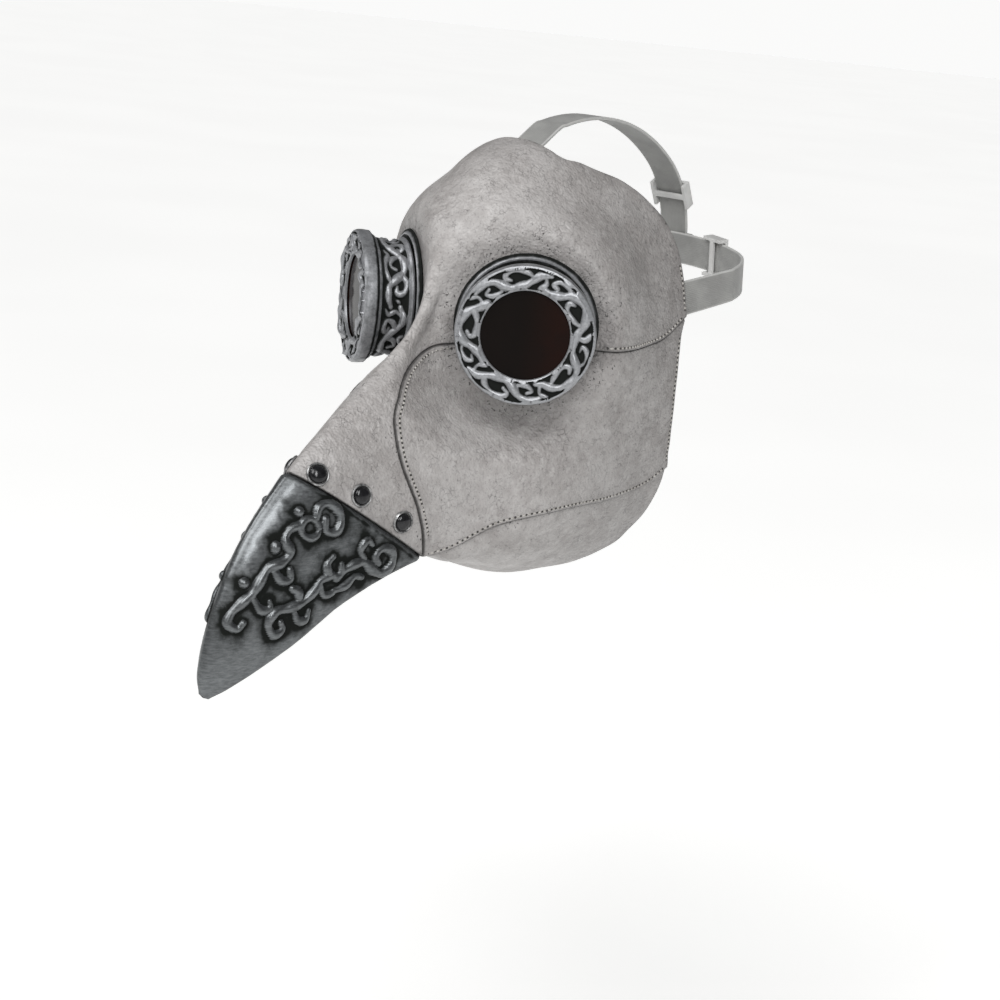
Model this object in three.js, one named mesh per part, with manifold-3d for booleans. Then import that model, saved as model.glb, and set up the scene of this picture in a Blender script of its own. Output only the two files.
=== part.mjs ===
// Plague doctor mask: a leather-look face mask with a long drooping beak, two goggle eyepieces,
// a riveted silver beak cap and an elastic head harness. Millimetres, +Z up, the face towards -Y,
// the wearer's left towards +X. The origin is the centre of the wearer's head at eye level, where
// the axes of the two eyepieces cross.
import * as THREE from 'three';
import { mergeVertices } from 'three/addons/utils/BufferGeometryUtils.js';
import Module from 'manifold-3d';

const wasm = await Module();
wasm.setup();

// ---- driving dimensions ----
const GAP = 0.3;                    // clearance between touching pieces
const LEATHER = 2.6;                // thickness of the leather panels
const SKIRT = 1.3;                  // thickness of the cap's skirt, which lies under the leather
const SKIRT_LENGTH = 16;            // how far the skirt runs back under the leather
const TAPE = 1.0;                   // thickness of the seam tapes
const TAPE_WIDTH = 12;
const EYE_AZIMUTH = 36.5;           // each eyepiece axis is turned this far from straight ahead, degrees
const EYE_REACH = 107;              // origin to the front of an eyepiece, along its axis
const SEAT_REACH = 73;              // origin to the flat leather seat under an eyepiece
const SEAT_FLAT = 47;               // radius of the flat seat
const SEAT_BLEND = 76;              // radius at which the seat has run out into the face
const BRIDGE_HALF = 12;             // the seats' sideways push dies out this near the middle plane
const FLANGE_R = 40;
const BEZEL_R = 38;
const VIEW_R = 24;                  // radius of the clear view through the lens
const BORE_R = 25;                  // bore of the barrel
const SLEEVE_R = 27.6;              // barrel sleeve that passes through the leather
const STRAP_WIDTH = 20;
const STRAP_THICK = 1.8;
const STRAP_TILT = 8;               // the back strap rises this much towards the back, degrees
const REAR_ARC_R = 105;             // the back strap's arc behind the head
const SIDE_ARC_R = 52;              // and its tighter arc at each side
const REAR_Y = 150;                 // how far behind the origin the back strap runs
const CROWN_ARC_R = 140;            // the top strap's arc over the crown
const NAPE_ARC_R = 66;              // and its tighter arc down the back of the head

const COLOURS = {
  leather: [0xb9b4ac, 0.55, 0.0], lining: [0x8d8780, 0.8, 0.0], silver: [0x8e8f8c, 0.35, 0.9],
  darkMetal: [0x2a2a2a, 0.25, 0.8], lens: [0x200c0c, 0.08, 0.0], rubber: [0x1b1b1b, 0.8, 0.0],
  elastic: [0xc4c3bf, 0.85, 0.0], slider: [0xb4b4b2, 0.4, 0.0],
};

// ---- the face and beak as cross-sections, from the beak's tip to behind the temples ----
// top y, z | bottom y, z | half width | where it is widest, 0 top to 1 bottom | roundness of the
// upper half | roundness of the lower half | how far the sides are swept back
const SECTIONS = [
  [-246, -184, -242, -187, 0.5, 0.80, 1.60, 2.4, 0],
  [-247, -170, -231, -181, 7.6, 0.85, 1.60, 2.6, 0],
  [-239, -141, -201, -165, 17, 0.90, 1.60, 3.0, 0],
  [-222, -108, -161, -143, 23, 0.93, 1.60, 3.5, 0],
  [-192, -75, -113, -129, 30, 0.94, 1.70, 3.5, 0],
  [-155, -46, -90, -136, 38, 0.88, 1.70, 3.0, 0],
  [-118, -18, -70, -142, 50, 0.74, 1.70, 2.6, 4],
  [-94, 18, -48, -152, 65, 0.62, 1.75, 2.3, 10],
  [-80, 50, -18, -160, 74, 0.55, 1.80, 2.2, 14],
  [-60, 78, 20, -166, 79, 0.52, 1.90, 2.2, 14],
  [-26, 97, 60, -170, 82, 0.50, 2.00, 2.2, 8],
  [40, 112, 110, -172, 82, 0.50, 2.05, 2.2, 0],
];
// side outlines as y, z
const CAP_CORNER = [-114, -128];
const CAP_RIDGE = [-192, -75];
const CHEEK_TOP_SEAM = [CAP_CORNER, [-124, -98], [-133, -75], [-135, -57], [-130, -42], [-114, -27],
  [-81, -14], [-34, -10], [0, -10], [22, -8], [45, 2], [75, 15]];
const CHEEK_BOTTOM_SEAM = [CAP_CORNER, [-99, -122], [-74, -109], [-40, -103], [0, -102], [30, -98],
  [48, -90], [75, -74]];
const RIM = [[-25, 150], [-24, 96], [-9, 87], [16, 77], [37, 60], [46, 39], [49, 14], [48, 2], [44, -8],
  [43, -30], [45, -60], [51, -88], [51, -110], [44, -129], [35, -142], [12, -151], [-30, -156], [-31, -190]];
// rivets behind the cap's edge as y, z, the same on both sides
const RIVETS = [[-181, -75], [-159, -87], [-133, -104]];

const deg = THREE.MathUtils.degToRad;
const eyeAxis = (side) => new THREE.Vector3(
  side * Math.sin(deg(EYE_AZIMUTH)), -Math.cos(deg(EYE_AZIMUTH)), 0);

// a Catmull-Rom spline through the section table
function sectionAt(t) {
  const last = SECTIONS.length - 1;
  const i = Math.min(Math.floor(t), last - 1);
  const u = t - i;
  const b = SECTIONS[i];
  const c = SECTIONS[i + 1];
  return b.map((_, k) => {
    const a = i > 0 ? SECTIONS[i - 1][k] : 2 * b[k] - c[k];
    const d = i + 2 <= last ? SECTIONS[i + 2][k] : 2 * c[k] - b[k];
    const p = b[k];
    const q = c[k];
    return 0.5 * (2 * p + (q - a) * u + (2 * a - 5 * p + 4 * q - d) * u * u
      + (3 * p - a - 3 * q + d) * u * u * u);
  });
}

// a flat seat is pressed into the face under each eyepiece
function pressSeat(point) {
  const side = point.x < 0 ? -1 : 1;
  const axis = eyeAxis(side);
  const along = point.dot(axis);
  if (along <= 0) return point;
  const radius = point.clone().addScaledVector(axis, -along).length();
  const w = THREE.MathUtils.smoothstep(SEAT_BLEND - radius, 0, SEAT_BLEND - SEAT_FLAT);
  const push = (SEAT_REACH - along) * w;
  const sideways = THREE.MathUtils.smoothstep(Math.abs(point.x), 0, BRIDGE_HALF);
  return point.add(new THREE.Vector3(axis.x * push * sideways, axis.y * push, 0));
}

// the outer surface: t runs along the sections, theta round them from the top, positive to +X
function surface(t, theta) {
  const [ty, tz, by, bz, half, widest, upper, lower, sweep] = sectionAt(t);
  const s = Math.abs(Math.sin(theta));
  const c = Math.abs(Math.cos(theta));
  const above = Math.abs(theta) <= Math.PI / 2;
  const n = above ? upper : lower;
  const centreY = ty + (by - ty) * widest;
  const centreZ = tz + (bz - tz) * widest;
  const reach = c ** (2 / n);
  return pressSeat(new THREE.Vector3(
    Math.sign(theta) * half * s ** (2 / n),
    centreY + ((above ? ty : by) - centreY) * reach + sweep * s * s,
    centreZ + ((above ? tz : bz) - centreZ) * reach,
  ));
}

const T_END = SECTIONS.length - 1;

// the outward normal, taken over a short span so that the ridges stay calm
function surfaceNormal(t, theta) {
  const dt = 0.06;
  const da = 0.12;
  const t0 = Math.max(t - dt, 0);
  const t1 = Math.min(t + dt, T_END);
  const round = (a) => (Math.abs(a) > Math.PI ? a - Math.sign(a) * 2 * Math.PI : a);
  const alongT = surface(t1, theta).sub(surface(t0, theta));
  const alongA = surface(t, round(theta + da)).sub(surface(t, round(theta - da)));
  return alongA.cross(alongT).normalize();
}

const inward = (t, theta, depth) => surface(t, theta).addScaledVector(surfaceNormal(t, theta), -depth);

// t and theta of the surface point that has this y and z, on the +X side
function locate(y, z) {
  let t = 8;
  let a = Math.PI / 2;
  const step = 1e-3;
  for (let i = 0; i < 60; i += 1) {
    const p = surface(t, a);
    const dt = surface(t + step, a).sub(p).divideScalar(step);
    const da = surface(t, a + step).sub(p).divideScalar(step);
    const det = dt.y * da.z - da.y * dt.z;
    const ey = y - p.y;
    const ez = z - p.z;
    t += THREE.MathUtils.clamp((ey * da.z - ez * da.y) / det, -0.5, 0.5);
    a += THREE.MathUtils.clamp((ez * dt.y - ey * dt.z) / det, -0.3, 0.3);
    t = THREE.MathUtils.clamp(t, 0.1, T_END - 0.1);
    a = THREE.MathUtils.clamp(a, 0.05, Math.PI - 0.05);
  }
  return [t, a];
}

// ---- from three.js geometry to manifold solids and back ----
function solid(geometry) {
  const plain = geometry.clone();
  plain.deleteAttribute('normal');
  plain.deleteAttribute('uv');
  const merged = mergeVertices(plain, 1e-4);
  return new wasm.Manifold(new wasm.Mesh({
    numProp: 3,
    vertProperties: new Float32Array(merged.attributes.position.array),
    triVerts: new Uint32Array(merged.index.array),
  }));
}

function geometryOf(manifold) {
  const mesh = manifold.getMesh();
  const geometry = new THREE.BufferGeometry();
  geometry.setAttribute('position', new THREE.BufferAttribute(new Float32Array(mesh.vertProperties), 3));
  geometry.setIndex(new THREE.BufferAttribute(new Uint32Array(mesh.triVerts), 1));
  geometry.computeVertexNormals();
  return geometry;
}

function signedVolume(points, index) {
  let volume = 0;
  for (let i = 0; i < index.length; i += 3) {
    const [a, b, c] = [points[index[i]], points[index[i + 1]], points[index[i + 2]]];
    volume += a.dot(b.clone().cross(c)) / 6;
  }
  return volume;
}

// a closed skin of rings, each ring the same number of points, closed by a fan at both ends
function closedRings(rings) {
  const count = rings[0].length;
  const points = rings.flat();
  const centre = (ring) => ring.reduce((sum, p) => sum.add(p), new THREE.Vector3()).divideScalar(count);
  const first = points.push(centre(rings[0])) - 1;
  const last = points.push(centre(rings[rings.length - 1])) - 1;
  const index = [];
  for (let r = 0; r + 1 < rings.length; r += 1) {
    for (let k = 0; k < count; k += 1) {
      const a = r * count + k;
      const b = r * count + (k + 1) % count;
      index.push(a, a + count, b, b, a + count, b + count);
    }
  }
  const top = (rings.length - 1) * count;
  for (let k = 0; k < count; k += 1) {
    index.push(first, k, (k + 1) % count, last, top + (k + 1) % count, top + k);
  }
  const geometry = new THREE.BufferGeometry();
  geometry.setAttribute('position', new THREE.Float32BufferAttribute(points.flatMap((p) => p.toArray()), 3));
  geometry.setIndex(signedVolume(points, index) < 0 ? index.reverse() : index);
  return geometry;
}

// the angles that cut a section into stretches of equal length
function evenAngles(t, columns) {
  const fine = 180;
  const angles = Array.from({ length: fine + 1 }, (_, i) => -Math.PI + (2 * Math.PI * i) / fine);
  const points = angles.map((a) => surface(t, a));
  const run = [0];
  for (let i = 1; i <= fine; i += 1) run.push(run[i - 1] + points[i].distanceTo(points[i - 1]));
  return Array.from({ length: columns }, (_, k) => {
    const target = (run[fine] * k) / columns;
    const i = Math.max(run.findIndex((length) => length > target), 1);
    const u = (target - run[i - 1]) / (run[i] - run[i - 1]);
    return angles[i - 1] + (angles[i] - angles[i - 1]) * u;
  });
}

// everything inside the surface that lies a given depth below it
const COLUMNS = 24;
function filled(depth, tStart = 0) {
  const beak = [0, 0.4, 1, 1.7, 2.4, 3.2];
  const face = Array.from({ length: (T_END - 4) * 2 + 1 }, (_, i) => 4 + i / 2);
  const rows = [...beak, ...face].filter((t) => t >= tStart);
  return solid(closedRings(rows.map((t) => evenAngles(t, COLUMNS).map((a) => inward(t, a, depth)))));
}

const CAVITY_START = 1;             // the section at which the hollow of the beak begins
const between = (outer, inner) => filled(outer, outer > 0 ? CAVITY_START : 0)
  .subtract(filled(inner, CAVITY_START));

// ---- cutting tools ----
// a prism that runs right across the mask, from an outline in y and z
function prism(outline, low = -120, high = 120) {
  const shape = new THREE.Shape(outline.map(([y, z]) => new THREE.Vector2(y, z)));
  const geometry = new THREE.ExtrudeGeometry(shape, { depth: high - low, bevelEnabled: false, steps: 1 });
  geometry.translate(0, 0, low);
  geometry.applyMatrix4(new THREE.Matrix4().makeBasis(
    new THREE.Vector3(0, 1, 0), new THREE.Vector3(0, 0, 1), new THREE.Vector3(1, 0, 0)));
  return solid(geometry);
}

const splineThrough = (outline, count) => new THREE.SplineCurve(
  outline.map(([y, z]) => new THREE.Vector2(y, z))).getPoints(count).map((p) => [p.x, p.y]);

// a strip of the given width that follows a line in y and z
function strip(line, width, low, high) {
  const sides = [1, -1].map((side) => line.map(([y, z], i) => {
    const a = line[Math.max(i - 1, 0)];
    const b = line[Math.min(i + 1, line.length - 1)];
    const d = new THREE.Vector2(b[0] - a[0], b[1] - a[1]).normalize();
    return [y - (side * d.y * width) / 2, z + (side * d.x * width) / 2];
  }));
  return prism([...sides[0], ...sides[1].reverse()], low, high);
}

// a turned solid on the axis of an eyepiece: radius, distance from the origin
const EYE_SEGMENTS = 24;
function turned(profile, segments) {
  const points = profile.map(([r, h]) => new THREE.Vector2(r, h));
  const closed = profile[0][0] > 0;
  return new THREE.LatheGeometry(closed ? [...points, points[0].clone()] : points, segments);
}
const disc = (radius, low, high, segments) => turned(
  [[0, low], [radius, low], [radius, high], [0, high]], segments);

// a group that turns its pieces' +Y onto a direction, with its own origin at a point
function alignedGroup(origin, direction) {
  const group = new THREE.Group();
  group.position.copy(origin);
  group.quaternion.setFromUnitVectors(new THREE.Vector3(0, 1, 0), direction);
  group.updateMatrixWorld(true);
  return group;
}
const placedSolid = (geometry, group) => solid(geometry.clone().applyMatrix4(group.matrixWorld));

// ---- the assembly ----
const mask = new THREE.Group();
function add(name, geometry, look, parent = mask) {
  const [color, roughness, metalness] = COLOURS[look];
  const mesh = new THREE.Mesh(geometry, new THREE.MeshStandardMaterial({ color, roughness, metalness }));
  mesh.name = name;
  parent.add(mesh);
}

const SIDES = [['left', 1], ['right', -1]];
const eyeGroups = SIDES.map(([, side]) => alignedGroup(new THREE.Vector3(), eyeAxis(side)));

// The cap's rear edge is straight from the ridge to the corner under the beak.
const edgeDirection = new THREE.Vector2(
  CAP_CORNER[0] - CAP_RIDGE[0], CAP_CORNER[1] - CAP_RIDGE[1]).normalize();
const onEdge = (along, behind) => [
  CAP_RIDGE[0] + edgeDirection.x * along - edgeDirection.y * behind,
  CAP_RIDGE[1] + edgeDirection.y * along + edgeDirection.x * behind];
const EDGE_TOP = -25;
const EDGE_BOTTOM = 125;
const acrossEdge = (front, behind) => prism([
  onEdge(EDGE_TOP, front), onEdge(EDGE_BOTTOM, front),
  onEdge(EDGE_BOTTOM, behind), onEdge(EDGE_TOP, behind)]);

const topSeam = splineThrough(CHEEK_TOP_SEAM, 26);
const bottomSeam = splineThrough(CHEEK_BOTTOM_SEAM, 9);
const rim = splineThrough(RIM, 30);

const FAR = 320;                    // well outside the mask
const REGIONS = {
  crown: [onEdge(EDGE_TOP, 0), ...topSeam, [75, 160], [-215, 160]],
  cheek: [...topSeam, ...bottomSeam.slice(1).reverse()],
  chin: [...bottomSeam, [75, -220], onEdge(EDGE_BOTTOM, 0)],
};

const rivetSites = RIVETS.map(([y, z]) => {
  const [t, a] = locate(y, z);
  return { point: surface(t, a), normal: surfaceNormal(t, a) };
});
const rivetGroups = SIDES.flatMap(([label, side]) => rivetSites.map(({ point, normal }, i) => ({
  name: `${label}_${i + 1}`,
  group: alignedGroup(point.clone().multiply(new THREE.Vector3(side, 1, 1)),
    normal.clone().multiply(new THREE.Vector3(side, 1, 1))),
})));
const RIVET_SEGMENTS = 10;
const SHANK_R = 1.8;
const SPOT_FACE = 0.4;              // depth of the flat under each rivet's ring
const SPOT_R = 7;
// the spans along an eyepiece's axis that its cutting discs reach over
const CUT_FROM = 40;
const CUT_TO = 100;

function cutLeather(panel) {
  let leather = panel;
  for (const group of eyeGroups) {
    leather = leather
      .subtract(placedSolid(disc(SLEEVE_R + GAP, CUT_FROM, CUT_TO, EYE_SEGMENTS), group))
      .subtract(placedSolid(disc(FLANGE_R + 1.5, SEAT_REACH, CUT_TO, EYE_SEGMENTS), group))
      .subtract(placedSolid(disc(FLANGE_R - 2, CUT_FROM, SEAT_REACH - LEATHER, EYE_SEGMENTS), group));
  }
  for (const { group } of rivetGroups) {
    leather = leather
      .subtract(placedSolid(disc(SHANK_R + GAP, -12, 8, RIVET_SEGMENTS), group))
      .subtract(placedSolid(disc(SPOT_R, -SPOT_FACE, 6, RIVET_SEGMENTS), group));
  }
  return leather;
}

function addPanels() {
  const keep = prism([[-FAR, FAR], ...rim, [-31, -FAR], [-FAR, -FAR]]);
  const gaps = strip(topSeam, GAP).add(strip(bottomSeam, GAP)).add(acrossEdge(-GAP, GAP));
  const skin = between(0, LEATHER).intersect(keep).subtract(gaps);
  const panel = (region, low, high) => cutLeather(skin.intersect(prism(REGIONS[region], low, high)));
  add('crown_panel', geometryOf(panel('crown')), 'leather');
  add('chin_panel', geometryOf(panel('chin')), 'leather');
  add('cheek_panel_left', geometryOf(panel('cheek', 0, 120)), 'leather');
  add('cheek_panel_right', geometryOf(panel('cheek', -120, 0)), 'leather');
}

function addCap() {
  const front = prism([onEdge(EDGE_TOP, -GAP), onEdge(EDGE_BOTTOM, -GAP), onEdge(EDGE_BOTTOM, -200),
    onEdge(EDGE_TOP, -200)]);
  const skirtTop = LEATHER + GAP;
  const shell = between(0, skirtTop + SKIRT).intersect(front);
  const skirt = between(skirtTop, skirtTop + SKIRT).intersect(acrossEdge(-GAP - 1, SKIRT_LENGTH));
  let cap = shell.add(skirt);
  for (const { group } of rivetGroups) {
    cap = cap.subtract(placedSolid(disc(SHANK_R + GAP, -12, 8, RIVET_SEGMENTS), group));
  }
  add('beak_cap', geometryOf(cap), 'silver');
}

// tapes behind the seams tie each cheek to its neighbours; they stop short of the strap's patches
const TAPE_END_Y = 20;
function addSeamTapes() {
  const depth = LEATHER + GAP;
  const layer = between(depth, depth + TAPE);
  const clear = acrossEdge(-60, SKIRT_LENGTH + 1);
  const inFront = prism([[-FAR, FAR], [TAPE_END_Y, FAR], [TAPE_END_Y, -FAR], [-FAR, -FAR]]);
  const behindEye = eyeGroups.map((group) => placedSolid(disc(FLANGE_R + 1, 40, 90, EYE_SEGMENTS), group));
  SIDES.forEach(([label, side], i) => {
    const [low, high] = side > 0 ? [1, 120] : [-120, -1];
    const seams = { cheek_top: topSeam, cheek_bottom: bottomSeam };
    for (const [seam, line] of Object.entries(seams)) {
      const whole = layer.intersect(strip(line, TAPE_WIDTH, low, high)).intersect(inFront)
        .subtract(clear).subtract(behindEye[i]);
      const pieces = whole.decompose();
      pieces.sort((a, b) => b.volume() - a.volume());
      add(`${seam}_seam_tape_${label}`, geometryOf(pieces[0]), 'lining');
    }
  });
}

// flange, barrel, bezel, lens, gasket and the ring inside the mask that clamps the leather
function addEyepiece(label, group) {
  const seat = SEAT_REACH + GAP;
  const barrelBase = seat + 3.3;
  const barrelTop = EYE_REACH - 10;
  const inner = SEAT_REACH - LEATHER - GAP;
  const pieces = {
    flange: ['silver', [[28, seat], [FLANGE_R, seat], [FLANGE_R, seat + 1.8],
      [FLANGE_R - 1.2, seat + 3], [28, seat + 3]]],
    barrel: ['silver', [[BORE_R, inner - 4], [SLEEVE_R, inner - 4], [SLEEVE_R, barrelBase], [35, barrelBase],
      [33, barrelBase + 7], [33.2, barrelTop - 4], [35, barrelTop], [BORE_R, barrelTop]]],
    bezel: ['silver', [[28.8, barrelTop + GAP], [36.5, barrelTop + GAP], [BEZEL_R, barrelTop + 1.8],
      [BEZEL_R, EYE_REACH - 2.4], [35.8, EYE_REACH], [27, EYE_REACH], [VIEW_R, EYE_REACH - 1.6],
      [VIEW_R, EYE_REACH - 3.2], [28.8, EYE_REACH - 3.2]]],
    gasket: ['rubber', [[25.6, barrelTop + GAP], [28.4, barrelTop + GAP], [28.4, barrelTop + 3.8],
      [25.6, barrelTop + 3.8]]],
    clamp_ring: ['darkMetal', [[28, inner - 3], [36.5, inner - 3], [36.5, inner], [28, inner]]],
  };
  for (const [piece, [look, profile]] of Object.entries(pieces)) {
    add(`eye_${piece}_${label}`, turned(profile, EYE_SEGMENTS), look, group);
  }
  add(`lens_${label}`, disc(28.4, EYE_REACH - 5.8, EYE_REACH - 3.5, EYE_SEGMENTS), 'lens', group);
  mask.add(group);
}

// domed rivet with its shank, the ring round its head and the burr inside
function addRivet(name, group) {
  const domeBase = 0.2;
  const dome = Array.from({ length: 3 }, (_, i) => {
    const a = deg(10 + i * 32);
    return [4.6 * Math.cos(a), domeBase + 0.4 + 2.4 * Math.sin(a)];
  });
  const tail = -(LEATHER + GAP + SKIRT) - 2.4;
  const rivet = [[0, tail], [SHANK_R, tail], [SHANK_R, domeBase], [4.5, domeBase], ...dome,
    [0, domeBase + 2.8]];
  const ringBase = GAP - SPOT_FACE;
  const ring = [[4.9, ringBase], [6.6, ringBase], [6.6, ringBase + 1], [5.8, ringBase + 1.7],
    [4.9, ringBase + 1]];
  const burrTop = tail + 1.4;
  const burr = [[SHANK_R + GAP, burrTop - 1], [4.2, burrTop - 1], [4.2, burrTop], [SHANK_R + GAP, burrTop]];
  add(`rivet_${name}`, turned(rivet, RIVET_SEGMENTS), 'darkMetal', group);
  add(`rivet_ring_${name}`, turned(ring, RIVET_SEGMENTS), 'silver', group);
  add(`rivet_burr_${name}`, turned(burr, RIVET_SEGMENTS), 'darkMetal', group);
  mask.add(group);
}

// a flat strap: at each place a centre, the direction across its width and the direction out of its face
function strapGeometry(places, width, thick) {
  return closedRings(places.map(({ centre, across, out }) => [[1, 1], [-1, 1], [-1, -1], [1, -1]]
    .map(([w, h]) => centre.clone().addScaledVector(across, (w * width) / 2)
      .addScaledVector(out, (h * thick) / 2))));
}

// the place of the strap's end under the leather's edge, at this y and z
function anchorPlace(y, z, side, depth) {
  const [t, a] = locate(y, z);
  const out = surfaceNormal(t, a);
  const across = new THREE.Vector3(0, 0, 1).addScaledVector(out, -out.z).normalize();
  const mirror = new THREE.Vector3(side, 1, 1);
  return {
    centre: inward(t, a, depth).multiply(mirror), across: across.multiply(mirror), out: out.multiply(mirror),
  };
}

const tilt = deg(STRAP_TILT);
const STRAP_Z = 13.5;               // height of the back strap at the temples
const STRAP_RISE_FROM = 47;         // and the y from which it rises
// the strap's plane: a plan position becomes a point on the tilted plane
const onStrapPlane = (x, y) => new THREE.Vector3(x, y, STRAP_Z + (y - STRAP_RISE_FROM) * Math.tan(tilt));
const strapUp = new THREE.Vector3(0, -Math.sin(tilt), Math.cos(tilt));
const rearCentreY = REAR_Y - REAR_ARC_R;
const STRAP_HALF = 81.5;            // half the width between the strap's straight sides
const turnAngle = Math.asin((STRAP_HALF - SIDE_ARC_R) / (REAR_ARC_R - SIDE_ARC_R));
const sideCentre = [STRAP_HALF - SIDE_ARC_R, rearCentreY + (REAR_ARC_R - SIDE_ARC_R) * Math.cos(turnAngle)];

// half of the back strap, from the side to the middle of the back
function strapHalf(side) {
  const places = [];
  const arc = (cx, cy, radius, from, to, count) => {
    for (let i = 0; i <= count; i += 1) {
      const a = from + ((to - from) * i) / count;
      const out = new THREE.Vector3(side * Math.sin(a), Math.cos(a), Math.cos(a) * Math.tan(tilt));
      places.push({ centre: onStrapPlane(side * (cx + radius * Math.sin(a)), cy + radius * Math.cos(a)),
        across: strapUp.clone(), out: out.normalize() });
    }
  };
  arc(sideCentre[0], sideCentre[1], SIDE_ARC_R, Math.PI / 2, turnAngle, 7);
  places.pop();
  arc(0, rearCentreY, REAR_ARC_R, turnAngle, 0, 7);
  return places;
}

function addBackStrap() {
  const depth = LEATHER + GAP + STRAP_THICK / 2 + 1;
  const ends = (side) => [24, 34, 44, 50].map((y) => anchorPlace(y, STRAP_Z, side, depth));
  const left = [...ends(1), ...strapHalf(1)];
  const right = [...ends(-1), ...strapHalf(-1)].reverse().slice(1);
  add('back_strap', strapGeometry([...left, ...right], STRAP_WIDTH, STRAP_THICK), 'elastic');
  // the patch that is stitched over each end
  for (const [label, side] of SIDES) {
    const patch = [22, 29, 37].map((y) => anchorPlace(y, STRAP_Z, side, depth + STRAP_THICK + GAP + 0.2));
    add(`strap_anchor_${label}`, strapGeometry(patch, STRAP_WIDTH + 6, 1.4), 'lining');
  }
}

const TOP_SLACK = 3.8;              // the flat top strap lies this far under the domed crown
// the top strap runs in the middle plane: forward end under the rim, lower end on the back strap
const TOP_CENTRE = [42, -30.5];
const topOut = (a) => new THREE.Vector3(0, Math.sin(a), Math.cos(a));
const junctionOut = new THREE.Vector3(0, Math.cos(tilt), Math.sin(tilt));
const junction = onStrapPlane(0, REAR_Y).addScaledVector(junctionOut, STRAP_THICK + GAP);

// where the arc down the back of the head is centred: it leaves the crown arc and meets the junction line
function napeCentre() {
  const start = junction.clone().addScaledVector(junctionOut, -NAPE_ARC_R);
  const reach = CROWN_ARC_R - NAPE_ARC_R;
  const dy = start.y - TOP_CENTRE[0];
  const dz = start.z - TOP_CENTRE[1];
  const b = dy * strapUp.y + dz * strapUp.z;
  const rise = -b + Math.sqrt(b * b - (dy * dy + dz * dz - reach * reach));
  return start.addScaledVector(strapUp, rise);
}
const nape = napeCentre();
const napeStart = Math.atan2(nape.y - TOP_CENTRE[0], nape.z - TOP_CENTRE[1]);
const napeEnd = Math.PI / 2 - tilt;

function addTopStrap() {
  const across = new THREE.Vector3(1, 0, 0);
  const places = [];
  const depth = LEATHER + GAP + STRAP_THICK / 2 + TOP_SLACK;
  const underRim = (t, d) => ({ centre: inward(t, 0, d), across, out: surfaceNormal(t, 0) });
  places.push(...[9.45, 9.75, 10.1].map((t) => underRim(t, depth)));
  const arc = (cy, cz, radius, from, to, count) => {
    for (let i = 0; i <= count; i += 1) {
      const a = from + ((to - from) * i) / count;
      places.push({ centre: new THREE.Vector3(0, cy + radius * Math.sin(a), cz + radius * Math.cos(a)),
        across, out: topOut(a) });
    }
  };
  arc(TOP_CENTRE[0], TOP_CENTRE[1], CROWN_ARC_R, deg(-17), napeStart, 12);
  places.pop();
  arc(nape.y, nape.z, NAPE_ARC_R, napeStart, napeEnd, 8);
  places.push({ centre: junction.clone().addScaledVector(strapUp, -8), across, out: junctionOut });
  add('top_strap', strapGeometry(places, STRAP_WIDTH, STRAP_THICK), 'elastic');
  const patch = [9.42, 9.6, 9.8].map((t) => underRim(t, depth + STRAP_THICK + GAP + 0.2));
  add('strap_anchor_top', strapGeometry(patch, STRAP_WIDTH + 6, 1.4), 'lining');
  const cover = [9, -9].map((h) => ({ centre: junction.clone().addScaledVector(strapUp, h)
    .addScaledVector(junctionOut, STRAP_THICK / 2 + GAP + 0.9), across, out: junctionOut }));
  add('strap_junction_patch', strapGeometry(cover, STRAP_WIDTH + 6, 1.4), 'lining');
}

// a three-bar slider: two bars outside the strap and one inside it, joined by two rails
function addSlider(name, place) {
  const bar = 2.2;
  const barWidth = 3.4;
  const length = 17;
  const outerBar = (length - barWidth) / 2;
  const room = STRAP_THICK / 2 + 0.5;
  const block = (across, out, along, x, y, z) => solid(
    new THREE.BoxGeometry(across, out, along).translate(x, y, z));
  const wide = STRAP_WIDTH + 2 * (0.6 + bar);
  const rail = (side) => block(bar, 2 * (room + bar), length, side * (wide - bar) / 2, 0, 0);
  const slider = rail(1).add(rail(-1))
    .add(block(wide, bar, barWidth, 0, room + bar / 2, outerBar))
    .add(block(wide, bar, barWidth, 0, room + bar / 2, -outerBar))
    .add(block(wide, bar, barWidth, 0, -room - bar / 2, 0));
  const geometry = geometryOf(slider);
  const along = new THREE.Vector3().crossVectors(place.across, place.out);
  geometry.applyMatrix4(
    new THREE.Matrix4().makeBasis(place.across, place.out, along).setPosition(place.centre));
  add(name, geometry, 'slider');
}

const BACK_SLIDER_ANGLE = 21;       // degrees from the middle of the back, towards the left
const TOP_SLIDER_ANGLE = 60;        // degrees from upright, on the arc down the back of the head
function addSliders() {
  const a = deg(BACK_SLIDER_ANGLE);
  const out = new THREE.Vector3(Math.sin(a), Math.cos(a) * Math.cos(tilt), Math.cos(a) * Math.sin(tilt));
  addSlider('back_slider', {
    centre: onStrapPlane(REAR_ARC_R * Math.sin(a), rearCentreY + REAR_ARC_R * Math.cos(a)),
    across: strapUp.clone(), out });
  const b = deg(TOP_SLIDER_ANGLE);
  addSlider('top_slider', { centre: new THREE.Vector3(0, nape.y + NAPE_ARC_R * Math.sin(b),
    nape.z + NAPE_ARC_R * Math.cos(b)), across: new THREE.Vector3(1, 0, 0), out: topOut(b) });
}

addPanels();
addCap();
addSeamTapes();
SIDES.forEach(([label], i) => addEyepiece(label, eyeGroups[i]));
rivetGroups.forEach(({ name, group }) => addRivet(name, group));
addBackStrap();
addTopStrap();
addSliders();

export default mask;
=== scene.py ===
import math

import bpy
import numpy as np
from mathutils import Matrix, Vector


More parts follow.
